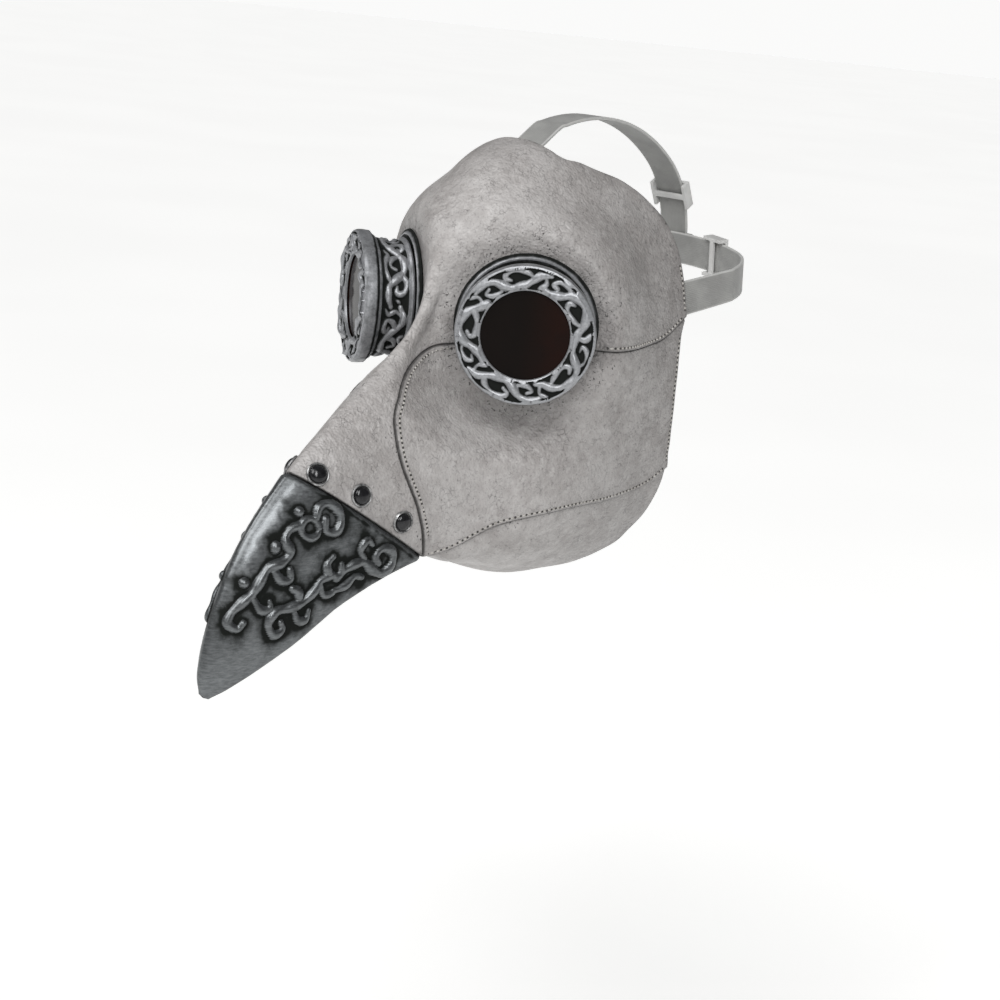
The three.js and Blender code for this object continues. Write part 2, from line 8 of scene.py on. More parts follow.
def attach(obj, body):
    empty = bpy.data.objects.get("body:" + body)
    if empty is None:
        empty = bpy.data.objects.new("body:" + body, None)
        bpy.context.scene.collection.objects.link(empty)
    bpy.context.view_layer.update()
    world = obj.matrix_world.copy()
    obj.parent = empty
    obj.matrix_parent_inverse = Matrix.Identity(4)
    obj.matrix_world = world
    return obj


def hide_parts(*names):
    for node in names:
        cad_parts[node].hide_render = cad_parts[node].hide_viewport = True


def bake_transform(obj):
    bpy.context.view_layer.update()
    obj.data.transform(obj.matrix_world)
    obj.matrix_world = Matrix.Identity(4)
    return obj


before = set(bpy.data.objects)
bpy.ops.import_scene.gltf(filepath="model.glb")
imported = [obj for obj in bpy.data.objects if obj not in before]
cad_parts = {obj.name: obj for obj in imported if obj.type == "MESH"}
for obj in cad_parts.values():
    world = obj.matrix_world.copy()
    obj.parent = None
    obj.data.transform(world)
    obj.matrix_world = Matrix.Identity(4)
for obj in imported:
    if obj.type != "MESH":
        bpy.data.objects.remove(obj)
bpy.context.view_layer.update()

# The looks of a leather face mask with a drooping beak, a riveted silver beak cap, two goggle eyepieces and
# an elastic harness. Shapes are in millimetres in the frame's axes; make_piece turns them into metres.
MM = 0.001
SIDES = (("left", 1), ("right", -1))
scene = bpy.context.scene
scene.view_settings.view_transform = "Standard"

# ---------------------------------------------------------------- the mask's outer surface

# top y, z | bottom y, z | half width | where widest | upper and lower exponent | sweep
SECTIONS = np.array([
    [-246, -184, -242, -187, 0.5, 0.80, 1.60, 2.4, 0],
    [-247, -170, -231, -181, 7.6, 0.85, 1.60, 2.6, 0],
    [-239, -141, -201, -165, 17, 0.90, 1.60, 3.0, 0],
    [-222, -108, -161, -143, 23, 0.93, 1.60, 3.5, 0],
    [-192, -75, -113, -129, 30, 0.94, 1.70, 3.5, 0],
    [-155, -46, -90, -136, 38, 0.88, 1.70, 3.0, 0],
    [-118, -18, -70, -142, 50, 0.74, 1.70, 2.6, 4],
    [-94, 18, -48, -152, 65, 0.62, 1.75, 2.3, 10],
    [-80, 50, -18, -160, 74, 0.55, 1.80, 2.2, 14],
    [-60, 78, 20, -166, 79, 0.52, 1.90, 2.2, 14],
    [-26, 97, 60, -170, 82, 0.50, 2.00, 2.2, 8],
    [40, 112, 110, -172, 82, 0.50, 2.05, 2.2, 0],
])
LAST = len(SECTIONS) - 1
EYE_ANGLE = math.radians(36.5)      # how far each eyepiece axis turns from straight ahead
EYE_AXIS = np.array([math.sin(EYE_ANGLE), -math.cos(EYE_ANGLE), 0.0])
SEAT_REACH = 73                     # origin to the flat seat under an eyepiece, along its axis
SEAT_FLAT, SEAT_BLEND = 47, 76      # radii at which the seat starts to bend and has run out
BRIDGE_HALF = 12                    # the seats' sideways push dies out this near the middle plane
LEATHER = 2.6                       # thickness
GAP = 0.3                           # between parts that meet

CORNER = (-114, -128)               # where the cap's edge, both seams and the chin meet, as y, z
RIDGE = (-192, -75)                 # where the cap's edge crosses the ridge of the beak
TOP_SEAM = [CORNER, (-124, -98), (-133, -75), (-135, -57), (-130, -42), (-114, -27), (-81, -14), (-34, -10),
            (0, -10), (22, -8), (45, 2), (75, 15)]
BOTTOM_SEAM = [CORNER, (-99, -122), (-74, -109), (-40, -103), (0, -102), (30, -98), (48, -90), (75, -74)]
RIM = [(-25, 150), (-24, 96), (-9, 87), (16, 77), (37, 60), (46, 39), (49, 14), (48, 2), (44, -8), (43, -30),
       (45, -60), (51, -88), (51, -110), (44, -129), (35, -142), (12, -151), (-30, -156), (-31, -190)]
RIVETS = [(-181, -75), (-159, -87), (-133, -104)]


def smooth(x):
    x = np.clip(x, 0, 1)
    return x * x * (3 - 2 * x)


def unit(vectors):
    return vectors / np.linalg.norm(vectors, axis=-1, keepdims=True)


def radius_of(points):
    """Distance from the z axis."""
    return np.hypot(points[:, 0], points[:, 1])


def catmull(points, t):
    """A Catmull-Rom curve through rows of numbers; t counts rows, and the ends are extrapolated."""
    points = np.asarray(points, float)
    last = len(points) - 1
    t = np.clip(np.asarray(t, float), 0, last)
    i = np.minimum(t.astype(int), last - 1)
    u = (t - i)[..., None]
    a, b = points[i], points[i + 1]
    before = np.where((i > 0)[..., None], points[np.maximum(i - 1, 0)], 2 * a - b)
    after = np.where((i + 2 <= last)[..., None], points[np.minimum(i + 2, last)], 2 * b - a)
    return 0.5 * (2 * a + (b - before) * u + (2 * before - 5 * a + 4 * b - after) * u ** 2
                  + (3 * a - before - 3 * b + after) * u ** 3)


def run_length(line):
    """How far along a line each of its points is."""
    return np.concatenate([[0], np.cumsum(np.linalg.norm(np.diff(line, axis=0), axis=1))])


def curve(points, step):
    """The same curve as even steps of about that length."""
    dense = catmull(points, np.linspace(0, len(points) - 1, 40 * len(points)))
    along = run_length(dense)
    even = np.linspace(0, along[-1], max(3, int(round(along[-1] / step)) + 1))
    return np.stack([np.interp(even, along, dense[:, k]) for k in range(dense.shape[1])], 1)


def eye_polar(points):
    """Distance along the nearer eyepiece's axis, and off it."""
    folded = np.array(points, float)
    folded[..., 0] = np.abs(folded[..., 0])
    along = folded @ EYE_AXIS
    return along, np.linalg.norm(folded - along[..., None] * EYE_AXIS, axis=-1)


def surface(t, angle):
    """A point on the outer surface: t counts sections, and angle goes from 0 at the top to pi underneath."""
    s = catmull(SECTIONS, t)
    sin, cos = np.abs(np.sin(angle)), np.abs(np.cos(angle))
    above = angle <= math.pi / 2
    power = np.where(above, s[..., 6], s[..., 7])
    reach = cos ** (2 / power)
    centre = s[..., 0:2] + (s[..., 2:4] - s[..., 0:2]) * s[..., 5:6]
    end = np.where(above[..., None], s[..., 0:2], s[..., 2:4])
    yz = centre + (end - centre) * reach[..., None]
    point = np.stack([s[..., 4] * sin ** (2 / power), yz[..., 0] + s[..., 8] * sin ** 2, yz[..., 1]], -1)
    along, off = eye_polar(point)
    pressed = smooth((SEAT_BLEND - off) / (SEAT_BLEND - SEAT_FLAT)) * (along > 0)
    push = EYE_AXIS * ((SEAT_REACH - along) * pressed)[..., None]
    push[..., 0] *= smooth(point[..., 0] / BRIDGE_HALF)
    return point + push


def even_rows(t_from, t_to, step):
    """Values of t about one step apart on the surface."""
    t = np.linspace(t_from, t_to, 400)
    lines = [surface(t, np.full_like(t, angle)) for angle in (0.01, 1.5, 3.1)]
    moves = [np.linalg.norm(np.diff(line, axis=0), axis=1) for line in lines]
    along = np.concatenate([[0], np.cumsum(0.5 * np.max(moves, 0) + 0.5 * np.mean(moves, 0))])
    return np.interp(np.linspace(0, along[-1], int(along[-1] / step) + 1), along, t)


def skin(t_from, t_to, step):
    """A grid on the surface, closed around: points and outward normals, rows by columns, and each row's t."""
    t = even_rows(t_from, t_to, step)
    angles = np.linspace(0, math.pi, 500)
    dense = surface(np.repeat(t[:, None], len(angles), 1), np.repeat(angles[None], len(t), 0))
    moves = np.linalg.norm(np.diff(dense, axis=1), axis=2)
    length = np.concatenate([np.zeros((len(t), 1)), np.cumsum(moves, 1)], 1)
    half = int(length[:, -1].max() / step) // 2 * 2 + 2
    picked = np.stack([np.interp(np.linspace(0, l[-1], half + 1), l, angles) for l in length])
    right = surface(np.repeat(t[:, None], half + 1, 1), picked)
    right[:, [0, -1], 0] = 0
    points = np.concatenate([right, right[:, -2:0:-1] * [-1, 1, 1]], 1)
    return points, grid_normals(points), t


def grid_normals(points):
    """Outward normals of a grid that is closed along its second axis."""
    around = np.roll(points, -1, 1) - np.roll(points, 1, 1)
    normals = np.cross(around, np.gradient(points, axis=0))
    normals /= np.linalg.norm(normals, axis=-1, keepdims=True) + 1e-12
    outward = ((points - points.mean(1, keepdims=True)) * normals).sum()
    return normals if outward > 0 else -normals


def lattice(cell, seed):
    """A fixed number from -1 to 1 for each whole-number cell, by an integer hash."""
    mixed = (cell[..., 0] * 73856093) ^ (cell[..., 1] * 19349663) ^ (cell[..., 2] * 83492791)
    mixed = (mixed ^ (seed * 2654435761)) & 0xFFFFFFFF
    mixed = ((mixed ^ (mixed >> 15)) * 2246822519) & 0xFFFFFFFF
    mixed = ((mixed ^ (mixed >> 13)) * 3266489917) & 0xFFFFFFFF
    return ((mixed ^ (mixed >> 16)) & 0xFFFF) / 32767.5 - 1


def noise(points, size, seed):
    """Smooth noise from -1 to 1 with features of about that size."""
    q = np.asarray(points, float) / size
    base = np.floor(q).astype(np.int64)
    f = smooth(q - base)
    total = 0
    for corner in np.ndindex(2, 2, 2):
        weight = np.prod(np.where(np.array(corner), f, 1 - f), -1)
        total = total + weight * lattice(base + corner, seed)
    return total


# ---------------------------------------------------------------- meshes

def make_piece(name, points, faces, materials, body="mask", replaces=(), picks=None, marks=None,
               sharp=38):
    """A mesh object from millimetre points; it rides on a body and replaces CAD nodes."""
    mesh = bpy.data.meshes.new(name)
    faces = faces if isinstance(faces, list) else faces.tolist()
    mesh.from_pydata((np.asarray(points) * MM).tolist(), [], faces)
    for material in materials:
        mesh.materials.append(material)
    if picks is not None:
        mesh.polygons.foreach_set("material_index", np.asarray(picks, np.int32))
    for key, values in (marks or {}).items():
        layer = mesh.attributes.new(key, "FLOAT", "POINT")
        layer.data.foreach_set("value", np.asarray(values, np.float32))
    mesh.polygons.foreach_set("use_smooth", np.ones(len(mesh.polygons), bool))
    mesh.set_sharp_from_angle(angle=math.radians(sharp))
    mesh.update()
    piece = bpy.data.objects.new(name, mesh)
    scene.collection.objects.link(piece)
    if body:
        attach(piece, body)
    if replaces:
        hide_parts(*replaces)
    return piece


def grid_faces(rows, columns, looped=False):
    """Faces of a grid that is closed along its columns, and along its rows too if looped."""
    i = np.arange(rows if looped else rows - 1)[:, None] * columns
    i_next = (i + columns) % (rows * columns)
    j = np.arange(columns)
    k = (j + 1) % columns
    return np.stack([i + j, i + k, i_next + k, i_next + j], -1).reshape(-1, 4)


def tube_faces(rows, columns):
    """The faces of a grid that is closed around, with both ends shut."""
    last = (rows - 1) * columns
    ends = [list(range(columns))[::-1], list(range(last, last + columns))]
    return grid_faces(rows, columns).tolist() + ends


def faced(points, faces, normals):
    """The faces, all turned over if they face against the normals."""
    corner = points[faces[:, :3]]
    facing = np.cross(corner[:, 1] - corner[:, 0], corner[:, 2] - corner[:, 0])
    return faces if (facing * normals[faces[:, 0]]).sum() > 0 else faces[:, ::-1]


def split(rows, triangles, values):
    """Cuts triangles where values change sign; each new row lies between the two that it parts."""
    inside = values > 0
    mixed = inside[triangles].any(1) & ~inside[triangles].all(1)
    cut = triangles[mixed]
    side = inside[cut]
    odd = np.where(side.sum(1) == 1, side.argmax(1), (~side).argmax(1))
    n = np.arange(len(cut))
    a, b, c = cut[n, odd], cut[n, (odd + 1) % 3], cut[n, (odd + 2) % 3]
    edges = np.sort(np.concatenate([np.stack([a, b], 1), np.stack([a, c], 1)]), 1)
    edges, index = np.unique(edges, axis=0, return_inverse=True)
    index = index.reshape(-1) + len(rows)
    start, end = edges.T
    share = (values[start] / (values[start] - values[end]))[:, None]
    rows = np.concatenate([rows, rows[start] * (1 - share) + rows[end] * share])
    ab, ac = index[:len(cut)], index[len(cut):]
    parts = [np.stack(x, 1) for x in ((a, ab, ac), (ab, b, c), (ab, c, ac))]
    return rows, np.concatenate([triangles[~mixed], *parts])


def compact(rows, triangles):
    used, index = np.unique(triangles, return_inverse=True)
    return rows[used], index.reshape(-1, 3)


def open_edges(triangles):
    """The edges that only one triangle has, in that triangle's direction."""
    edges = np.concatenate([triangles[:, [0, 1]], triangles[:, [1, 2]], triangles[:, [2, 0]]])
    _, first, counts = np.unique(np.sort(edges, 1), axis=0, return_index=True, return_counts=True)
    return edges[first[counts == 1]]


def cut_to(rows, triangles, *fields):
    """The part of a sheet where every field is positive; each field is worked out from the rows."""
    for field in fields:
        rows, triangles = split(rows, triangles, field(rows))
        triangles = triangles[field(rows)[triangles].mean(1) > 0]
    return compact(rows, triangles)


def shell(outer, inner, triangles):
    """A closed solid between two faces with the same triangles."""
    count = len(outer)
    a, b = open_edges(triangles).T
    walls = np.concatenate([np.stack([b, a, a + count], 1), np.stack([b, a + count, b + count], 1)])
    return np.concatenate([outer, inner]), np.concatenate([triangles, walls, triangles[:, ::-1] + count])


def joined(*parts):
    """Several (points, faces) as one."""
    points, faces, start = [], [], 0
    for part_points, part_faces in parts:
        points.append(part_points)
        faces += [[i + start for i in face] for face in part_faces]
        start += len(part_points)
    return np.concatenate(points), faces


def inside_outline(outline, y, z):
    """Which points lie inside a closed outline."""
    y0, z0 = np.asarray(outline, float).T
    y1, z1 = np.roll(y0, -1), np.roll(z0, -1)
    crosses = (z0 > z[:, None]) != (z1 > z[:, None])
    at = y0 + (z[:, None] - z0) * (y1 - y0) / np.where(z1 == z0, 1, z1 - z0)
    return (crosses & (y[:, None] < at)).sum(1) % 2 == 1


def line_distance(line, points, normals):
    """Distance along the surface to a line drawn on its side view."""
    line = np.asarray(line, float)
    a, along = line[:-1], np.diff(line, axis=0)
    length = np.linalg.norm(along, axis=1)
    best = np.full(len(points), 1e9)
    facing = np.zeros(len(points))
    for start, run, l in zip(a, along, length):
        off = points[:, 1:] - start
        h = np.clip(off @ run / l ** 2, 0, 1)
        d = np.linalg.norm(off - h[:, None] * run, axis=1)
        nearer = d < best
        across = (normals[:, 1] * -run[1] + normals[:, 2] * run[0]) / l
        best = np.where(nearer, d, best)
        facing = np.where(nearer, across, facing)
    return best / np.sqrt(np.clip(1 - facing ** 2, 0.15, 1))


# ---------------------------------------------------------------- materials

class Look:
    """A node material under construction: each call adds a node and gives back its output."""

    def __init__(self, name):
        self.material = bpy.data.materials.new(name)
        self.material.use_nodes = True
        self.tree = self.material.node_tree
        self.tree.nodes.clear()
        self.shader = self.add("ShaderNodeBsdfPrincipled")
        output = self.add("ShaderNodeOutputMaterial")
        self.tree.links.new(self.shader.outputs[0], output.inputs[0])
        self.place = self.add("ShaderNodeTexCoord").outputs["Object"]

    def add(self, kind, inputs=None, **settings):
        node = self.tree.nodes.new(kind)
        for key, value in settings.items():
            setattr(node, key, value)
        for key, value in (inputs or {}).items():
            self.put(node.inputs[key], value)
        return node

    def put(self, socket, value):
        if isinstance(value, bpy.types.NodeSocket):
            self.tree.links.new(value, socket)
        else:
            socket.default_value = value

    def noise(self, size, detail=2.0, rough=0.5, stretch=(1, 1, 1)):
        place = self.add("ShaderNodeMapping", {"Vector": self.place, "Scale": stretch}).outputs[0]
        return self.add("ShaderNodeTexNoise", {
            "Vector": place, "Scale": 1 / (size * MM), "Detail": detail, "Roughness": rough}).outputs[0]

    def cracks(self, size, warp):
        """Distance to the nearest edge between cells; warp bends the edges by that share of their size."""
        inputs = {"Vector": self.place, "Scale": 1 / (1.6 * size * MM)}
        bend = self.add("ShaderNodeTexNoise", inputs).outputs[1]
        inputs = {0: bend, 1: (warp * size * MM * 2,) * 3}
        shift = self.add("ShaderNodeVectorMath", inputs, operation="MULTIPLY").outputs[0]
        place = self.add("ShaderNodeVectorMath", {0: self.place, 1: shift}, operation="ADD").outputs[0]
        inputs = {"Vector": place, "Scale": 1 / (size * MM)}
        return self.add("ShaderNodeTexVoronoi", inputs, feature="DISTANCE_TO_EDGE").outputs["Distance"]

    def mark(self, name):
        return self.add("ShaderNodeAttribute", attribute_name=name).outputs["Fac"]

    def math(self, operation, a, b=0.0):
        return self.add("ShaderNodeMath", {0: a, 1: b}, operation=operation).outputs[0]

    def plus(self, a, b):
        return self.math("ADD", a, b)

    def times(self, a, b):
        return self.math("MULTIPLY", a, b)

    def span(self, value, low, high, start=0.0, end=1.0):
        """value from low to high becomes start to end, smoothly and no further."""
        inputs = {"Value": value, "From Min": low, "From Max": high, "To Min": start, "To Max": end}
        return self.add("ShaderNodeMapRange", inputs, interpolation_type="SMOOTHSTEP").outputs[0]

    def mix(self, share, a, b):
        a, b = ((*c, 1.0) if isinstance(c, tuple) else c for c in (a, b))
        return self.add("ShaderNodeMix", {0: share, 6: a, 7: b}, data_type="RGBA").outputs[2]

    def shade(self, color, share):
        """A colour darkened by a share."""
        return self.mix(share, color, (0.02, 0.019, 0.018))

    def bump(self, height, depth, strength, below=None):
        inputs = {"Height": height, "Distance": depth * MM, "Strength": strength}
        if below is not None:
            inputs["Normal"] = below
        return self.add("ShaderNodeBump", inputs).outputs[0]

    def finish(self, **sockets):
        for key, value in sockets.items():
            value = (*value, 1.0) if isinstance(value, tuple) and len(value) == 3 else value
            self.put(self.shader.inputs[key.replace("_", " ")], value)
        return self.material


def leather_look():
    """Pale painted leather: cloudy tone, creased grain with dirt in it, dark specks that gather round the
    eyepieces and along the seams, rubbed light patches, the antiquing and painted shade of the mark 'shade',
    and painted shade along the panels' edges."""
    look = Look("leather")
    cloud = look.noise(26, 5, 0.62)
    patch = look.noise(6, 4, 0.65)
    tone = look.mix(look.span(cloud, 0.34, 0.66), (0.290, 0.274, 0.267), (0.370, 0.355, 0.348))
    tone = look.mix(look.span(patch, 0.46, 0.70, 0, 0.5), tone, (0.455, 0.440, 0.432))
    creases = look.cracks(3.4, 0.7)
    creased = look.span(look.noise(7, 3, 0.6), 0.46, 0.66)
    crease = look.times(look.span(creases, 0.07, 0.0), creased)
    wrinkle = look.noise(1.9, 5, 0.75)
    near_seam = look.span(look.mark("seam"), 9, 0)
    near_eye = look.span(look.mark("eye"), 22, 0)
    crowd = look.math("MAXIMUM", look.times(near_seam, 0.7), look.times(near_eye, 1.1))
    where = look.plus(look.noise(13, 4, 0.65), look.times(crowd, 0.24))
    many = look.span(where, 0.40, 0.82)
    limit = look.math("SUBTRACT", 0.80, look.times(many, 0.20))
    speck = look.span(look.math("SUBTRACT", look.noise(1.5, 2.5, 0.6), limit), 0.0, 0.035)
    blot = look.span(look.math("SUBTRACT", look.noise(3.4, 5, 0.8), look.plus(limit, 0.02)), 0.0, 0.06)
    dirt = look.math("MAXIMUM", speck, look.times(blot, 0.8))
    tone = look.shade(tone, look.span(wrinkle, 0.46, 0.30, 0, 0.42))
    tone = look.shade(tone, look.times(crease, 0.22))
    tone = look.shade(tone, look.times(dirt, 0.80))
    # antiquing and painted shade carried by the mark 'shade'
    tone = look.shade(tone, look.times(look.mark("shade"), look.span(wrinkle, 0.3, 0.62, 1.2, 0.70)))
    # painted shade along the panels' edges, where they meet at a gap
    tone = look.shade(tone, look.span(look.mark("seam"), 1.1, 0.2, 0, 0.75))
    folds = look.bump(look.noise(9, 1.5, 0.5), 1.6, 0.6)
    grain = look.bump(look.noise(2.6, 1.2, 0.5), 0.75, 0.9, folds)
    marks = look.bump(look.plus(look.times(crease, -0.8), look.times(dirt, -1.0)), 0.30, 0.9, grain)
    pores = look.bump(look.noise(1.3, 0.5, 0.5), 0.22, 0.9, marks)
    rough = look.plus(look.span(patch, 0.3, 0.7, 0.50, 0.38), look.times(dirt, 0.2))
    return look.finish(Base_Color=tone, Roughness=rough, Normal=pores, Specular_IOR_Level=0.42)


def lining_look():
    """Brownish suede with a short nap."""
    look = Look("lining")
    fleece = look.noise(1.6, 4, 0.7)
    tone = look.mix(look.span(look.noise(24, 3, 0.5), 0.3, 0.7), (0.115, 0.108, 0.100), (0.175, 0.165, 0.152))
    tone = look.mix(look.span(fleece, 0.5, 0.75, 0, 0.5), tone, (0.23, 0.22, 0.20))
    nap = look.bump(fleece, 0.35, 0.8)
    return look.finish(Base_Color=tone, Roughness=0.85, Normal=nap, Sheen_Weight=0.15)


def silver_look(name, brush, low, high, gloss, metal, tint):
    """Antiqued silver paint: bright where raised, black where the ink mark is high (antique black in the
    hollows, and on the cap painted shade too), faintly brushed.
    """
    look = Look(name)
    ink = look.mark("ink")
    brushed = look.noise(1.3, 4, 0.7, brush)
    cloud = look.noise(6, 4, 0.65)
    dark, light = (tuple(level * c for c in tint) for level in (low, high))
    tone = look.mix(look.span(brushed, 0.3, 0.72), dark, light)
    worn = look.plus(ink, look.span(cloud, 0.35, 0.75, -0.12, 0.14))
    black = look.span(worn, 0.05, 0.80, 0, 0.99)
    tone = look.mix(black, tone, (0.006, 0.007, 0.006))
    rough = look.plus(look.span(brushed, 0.3, 0.7, gloss, gloss + 0.10), look.times(black, 0.35))
    dents = look.bump(look.noise(5.5, 1.5, 0.5), 0.45, 0.5)
    fine = look.bump(brushed, 0.05, 0.8, dents)
    return look.finish(Base_Color=tone, Metallic=look.span(black, 0.2, 0.9, metal, 0.0), Roughness=rough,
                       Normal=fine, Specular_IOR_Level=0.08)


def plain_look(name, low, high, rough, metal, size, fine=0.5, depth=0.05):
    """A material with a soft change of tone and a fine surface."""
    look = Look(name)
    tone = look.mix(look.span(look.noise(size, 3, 0.6), 0.3, 0.7), low, high)
    texture = look.noise(fine, 3, 0.6)
    gloss = look.span(texture, 0.3, 0.7, rough - 0.04, rough + 0.04)
    uneven = look.bump(texture, depth, 0.6)
    return look.finish(Base_Color=tone, Roughness=gloss, Metallic=metal, Normal=uneven)


def elastic_look():
    """Woven elastic band: ribs along it and a fine weft across."""
    look = Look("elastic")
    run, cross = look.mark("run"), look.mark("cross")
    ribs = look.math("SINE", look.times(cross, 2 * math.pi / 1.1))
    weft = look.math("SINE", look.times(run, 2 * math.pi / 0.7))
    weave = look.plus(look.times(ribs, 0.6), look.times(weft, 0.25))
    soft = look.noise(14, 3, 0.5)
    tone = look.mix(look.span(soft, 0.3, 0.7), (0.22, 0.22, 0.213), (0.29, 0.29, 0.28))
    tone = look.mix(look.span(weave, -0.85, 0.2, 0.35, 0), tone, (0.16, 0.16, 0.155))
    tone = look.mix(look.span(look.math("ABSOLUTE", cross), 8.6, 9.8, 0, 0.6), tone, (0.58, 0.58, 0.565))
    threads = look.bump(weave, 0.10, 0.7)
    return look.finish(Base_Color=tone, Roughness=0.62, Normal=threads, Sheen_Weight=0.2)


def lens_look():
    """Dark tinted lens, with painted light that turns it a little lighter and red-brown towards one side."""
    look = Look("lens")
    side = look.mark("side")
    # painted light: lighter and redder towards one side, by the mark side
    tint = look.mix(look.span(side, -0.2, 0.9, 0, 1), (0.0050, 0.0036, 0.0030), (0.0110, 0.0042, 0.0030))
    tint = look.mix(look.span(look.noise(14, 2, 0.5), 0.45, 0.7, 0, 0.4), tint, (0.006, 0.004, 0.0035))
    return look.finish(Base_Color=tint, Roughness=0.12, Specular_IOR_Level=0.06)


LEATHER_LOOK = leather_look()
LINING_LOOK = lining_look()
CAP_LOOK = silver_look("cap_silver", (0.3, 0.3, 1.3), 0.11, 0.19, 0.29, 0.85, (0.95, 1.0, 1.03))
EYE_LOOK = silver_look("eyepiece_silver", (1, 1, 1), 0.25, 0.37, 0.34, 0.55, (0.96, 0.98, 1.02))
RING_LOOK = plain_look("bare_metal", (0.10, 0.10, 0.10), (0.42, 0.42, 0.42), 0.32, 0.7, 2.2)
DARK_LOOK = plain_look("black_nickel", (0.008, 0.008, 0.009), (0.018, 0.018, 0.020), 0.16, 0.3, 3.0)
RUBBER_LOOK = plain_look("rubber", (0.015, 0.015, 0.015), (0.03, 0.03, 0.03), 0.7, 0.0, 4.0)
PLASTIC_LOOK = plain_look("slider_plastic", (0.50, 0.50, 0.49), (0.58, 0.58, 0.57), 0.35, 0.0, 8.0, 0.8, 0.03)
THREAD_LOOK = plain_look("thread", (0.30, 0.285, 0.265), (0.46, 0.445, 0.42), 0.7, 0.0, 5.0, 0.35, 0.08)
# dark buttons painted as the shadow inside the needle holes
HOLE_SHADOW_LOOK = plain_look("needle_hole_shadow", (0.02, 0.018, 0.016), (0.05, 0.046, 0.042), 0.8, 0.0, 3.0)
TAPE_LOOK = plain_look("seam_tape", (0.13, 0.125, 0.115), (0.19, 0.18, 0.165), 0.85, 0.0, 12.0, 0.8, 0.12)
PATCH_LOOK = plain_look("patch_cloth", (0.36, 0.36, 0.345), (0.46, 0.46, 0.445), 0.75, 0.0, 10.0, 0.7, 0.1)
ELASTIC_LOOK = elastic_look()
LENS_LOOK = lens_look()

# ---------------------------------------------------------------- leather panels

EDGE = (np.array(CORNER, float) - RIDGE) / np.linalg.norm(np.subtract(CORNER, RIDGE))
EDGE_REAR = np.array([-EDGE[1], EDGE[0]])       # across the cap's edge, towards the back
AHEAD = tuple(np.array(CORNER) - 100 * EDGE_REAR)
FAR = 330                           # past anything on the side view
SHEET_START, SHEET_STEP = 3.4, 2.1
EDGE_ROUND = 0.9                    # radius of a panel's worn edge
LAP = 0.9                           # how far the upper panel of a lapped seam stands proud
UNDER = 0.5                         # and how far the lower one is pressed in
LAP_FADE = 9
LAP_TURNS = (-78, -52)              # y between which the cheek goes from over the crown to under it
EDGE_ROWS = (0.3, 0.9, 1.8)         # extra rows of points this far in from a panel's edge, for its rounding
LEATHER_DENTS = ((0.55, 30, 3), (0.28, 10, 4))          # height, size and seed of the noise
EYE_SWELL = 0.7                     # how far the leather swells round a flange
HOLE_R = 28.2                       # hole in the leather under an eyepiece
FLANGE_R = 40

top_line = curve(TOP_SEAM, 3)
bottom_line = curve(BOTTOM_SEAM, 3)
rim_line = curve(RIM, 4)
crown_side = [AHEAD, *top_line, (75, FAR), (-FAR, FAR), (-FAR, AHEAD[1])]
chin_side = [AHEAD, *bottom_line, (75, -FAR), (AHEAD[0], -FAR)]
in_front = [(-FAR, FAR), *rim_line, (-31, -FAR), (-FAR, -FAR)]

P, N, BEHIND_CAP, ABOVE_TOP, BELOW_BOTTOM, INSIDE_RIM, OFF_EYE = slice(0, 3), slice(3, 6), 6, 7, 8, 9, 10


def signed(outline, line, points, normals):
    """Distance to a line, positive inside the outline."""
    inside = inside_outline(outline, points[:, 1], points[:, 2])
    return np.where(inside, 1, -1) * line_distance(line, points, normals)


def leather_sheet():
    """The whole leather skin as triangles, cut along the cap's edge, the seams, the rim and the eye holes."""
    points, normals, _ = skin(SHEET_START, LAST, SHEET_STEP)
    quads = grid_faces(*points.shape[:2])
    points, normals = points.reshape(-1, 3), normals.reshape(-1, 3)
    quads = faced(points, quads, normals)
    off_edge = (points[:, 1:] - RIDGE) @ EDGE_REAR
    along_eye, off_eye = eye_polar(points)
    fields = [
        off_edge - GAP,
        signed(crown_side, [AHEAD, *top_line], points, normals),
        signed(chin_side, [AHEAD, *bottom_line], points, normals),
        signed(in_front, rim_line, points, normals),
        np.where(along_eye > 0, off_eye, 99) - HOLE_R,
    ]
    rows = np.column_stack([points, normals, *fields])
    triangles = np.concatenate([quads[:, [0, 1, 2]], quads[:, [0, 2, 3]]])
    for field in (BEHIND_CAP, INSIDE_RIM, OFF_EYE):
        rows, triangles = split(rows, triangles, rows[:, field])
        triangles = triangles[rows[triangles, field].mean(1) > 0]
    for field in (ABOVE_TOP, BELOW_BOTTOM):
        rows, triangles = split(rows, triangles, rows[:, field])
    return compact(rows, triangles)


def leather_lift(rows, panel, edge):
    """How far the outer face stands from the plain surface: soft dents, swells, laps and worn edges."""
    points = rows[:, P]
    off_eye = rows[:, OFF_EYE] + HOLE_R
    off_seat = smooth((off_eye - FLANGE_R - 1) / 12)
    lift = sum(height * noise(points, size, seed) for height, size, seed in LEATHER_DENTS) * off_seat
    lift += EYE_SWELL * np.exp(-((off_eye - FLANGE_R - 8) / 6) ** 2)
    cheek_over = smooth((LAP_TURNS[1] - points[:, 1]) / (LAP_TURNS[1] - LAP_TURNS[0]))
    near_top = 1 - smooth(np.abs(rows[:, ABOVE_TOP]) / LAP_FADE)
    near_bottom = 1 - smooth(np.abs(rows[:, BELOW_BOTTOM]) / LAP_FADE)
    over = LAP + UNDER
    if panel == "crown":
        lift += near_top * (LAP - over * cheek_over)
    elif panel == "cheek":
        lift += np.maximum(near_top * (over * cheek_over - UNDER), near_bottom * LAP)
    else:
        lift -= near_bottom * UNDER
    lift *= smooth(rows[:, BEHIND_CAP] / 6) * 0.9 + 0.1
    inside = np.clip(1 - edge / EDGE_ROUND, 0, 1)
    return lift - EDGE_ROUND * (1 - np.sqrt(1 - inside ** 2)) * (off_eye > FLANGE_R - 6)


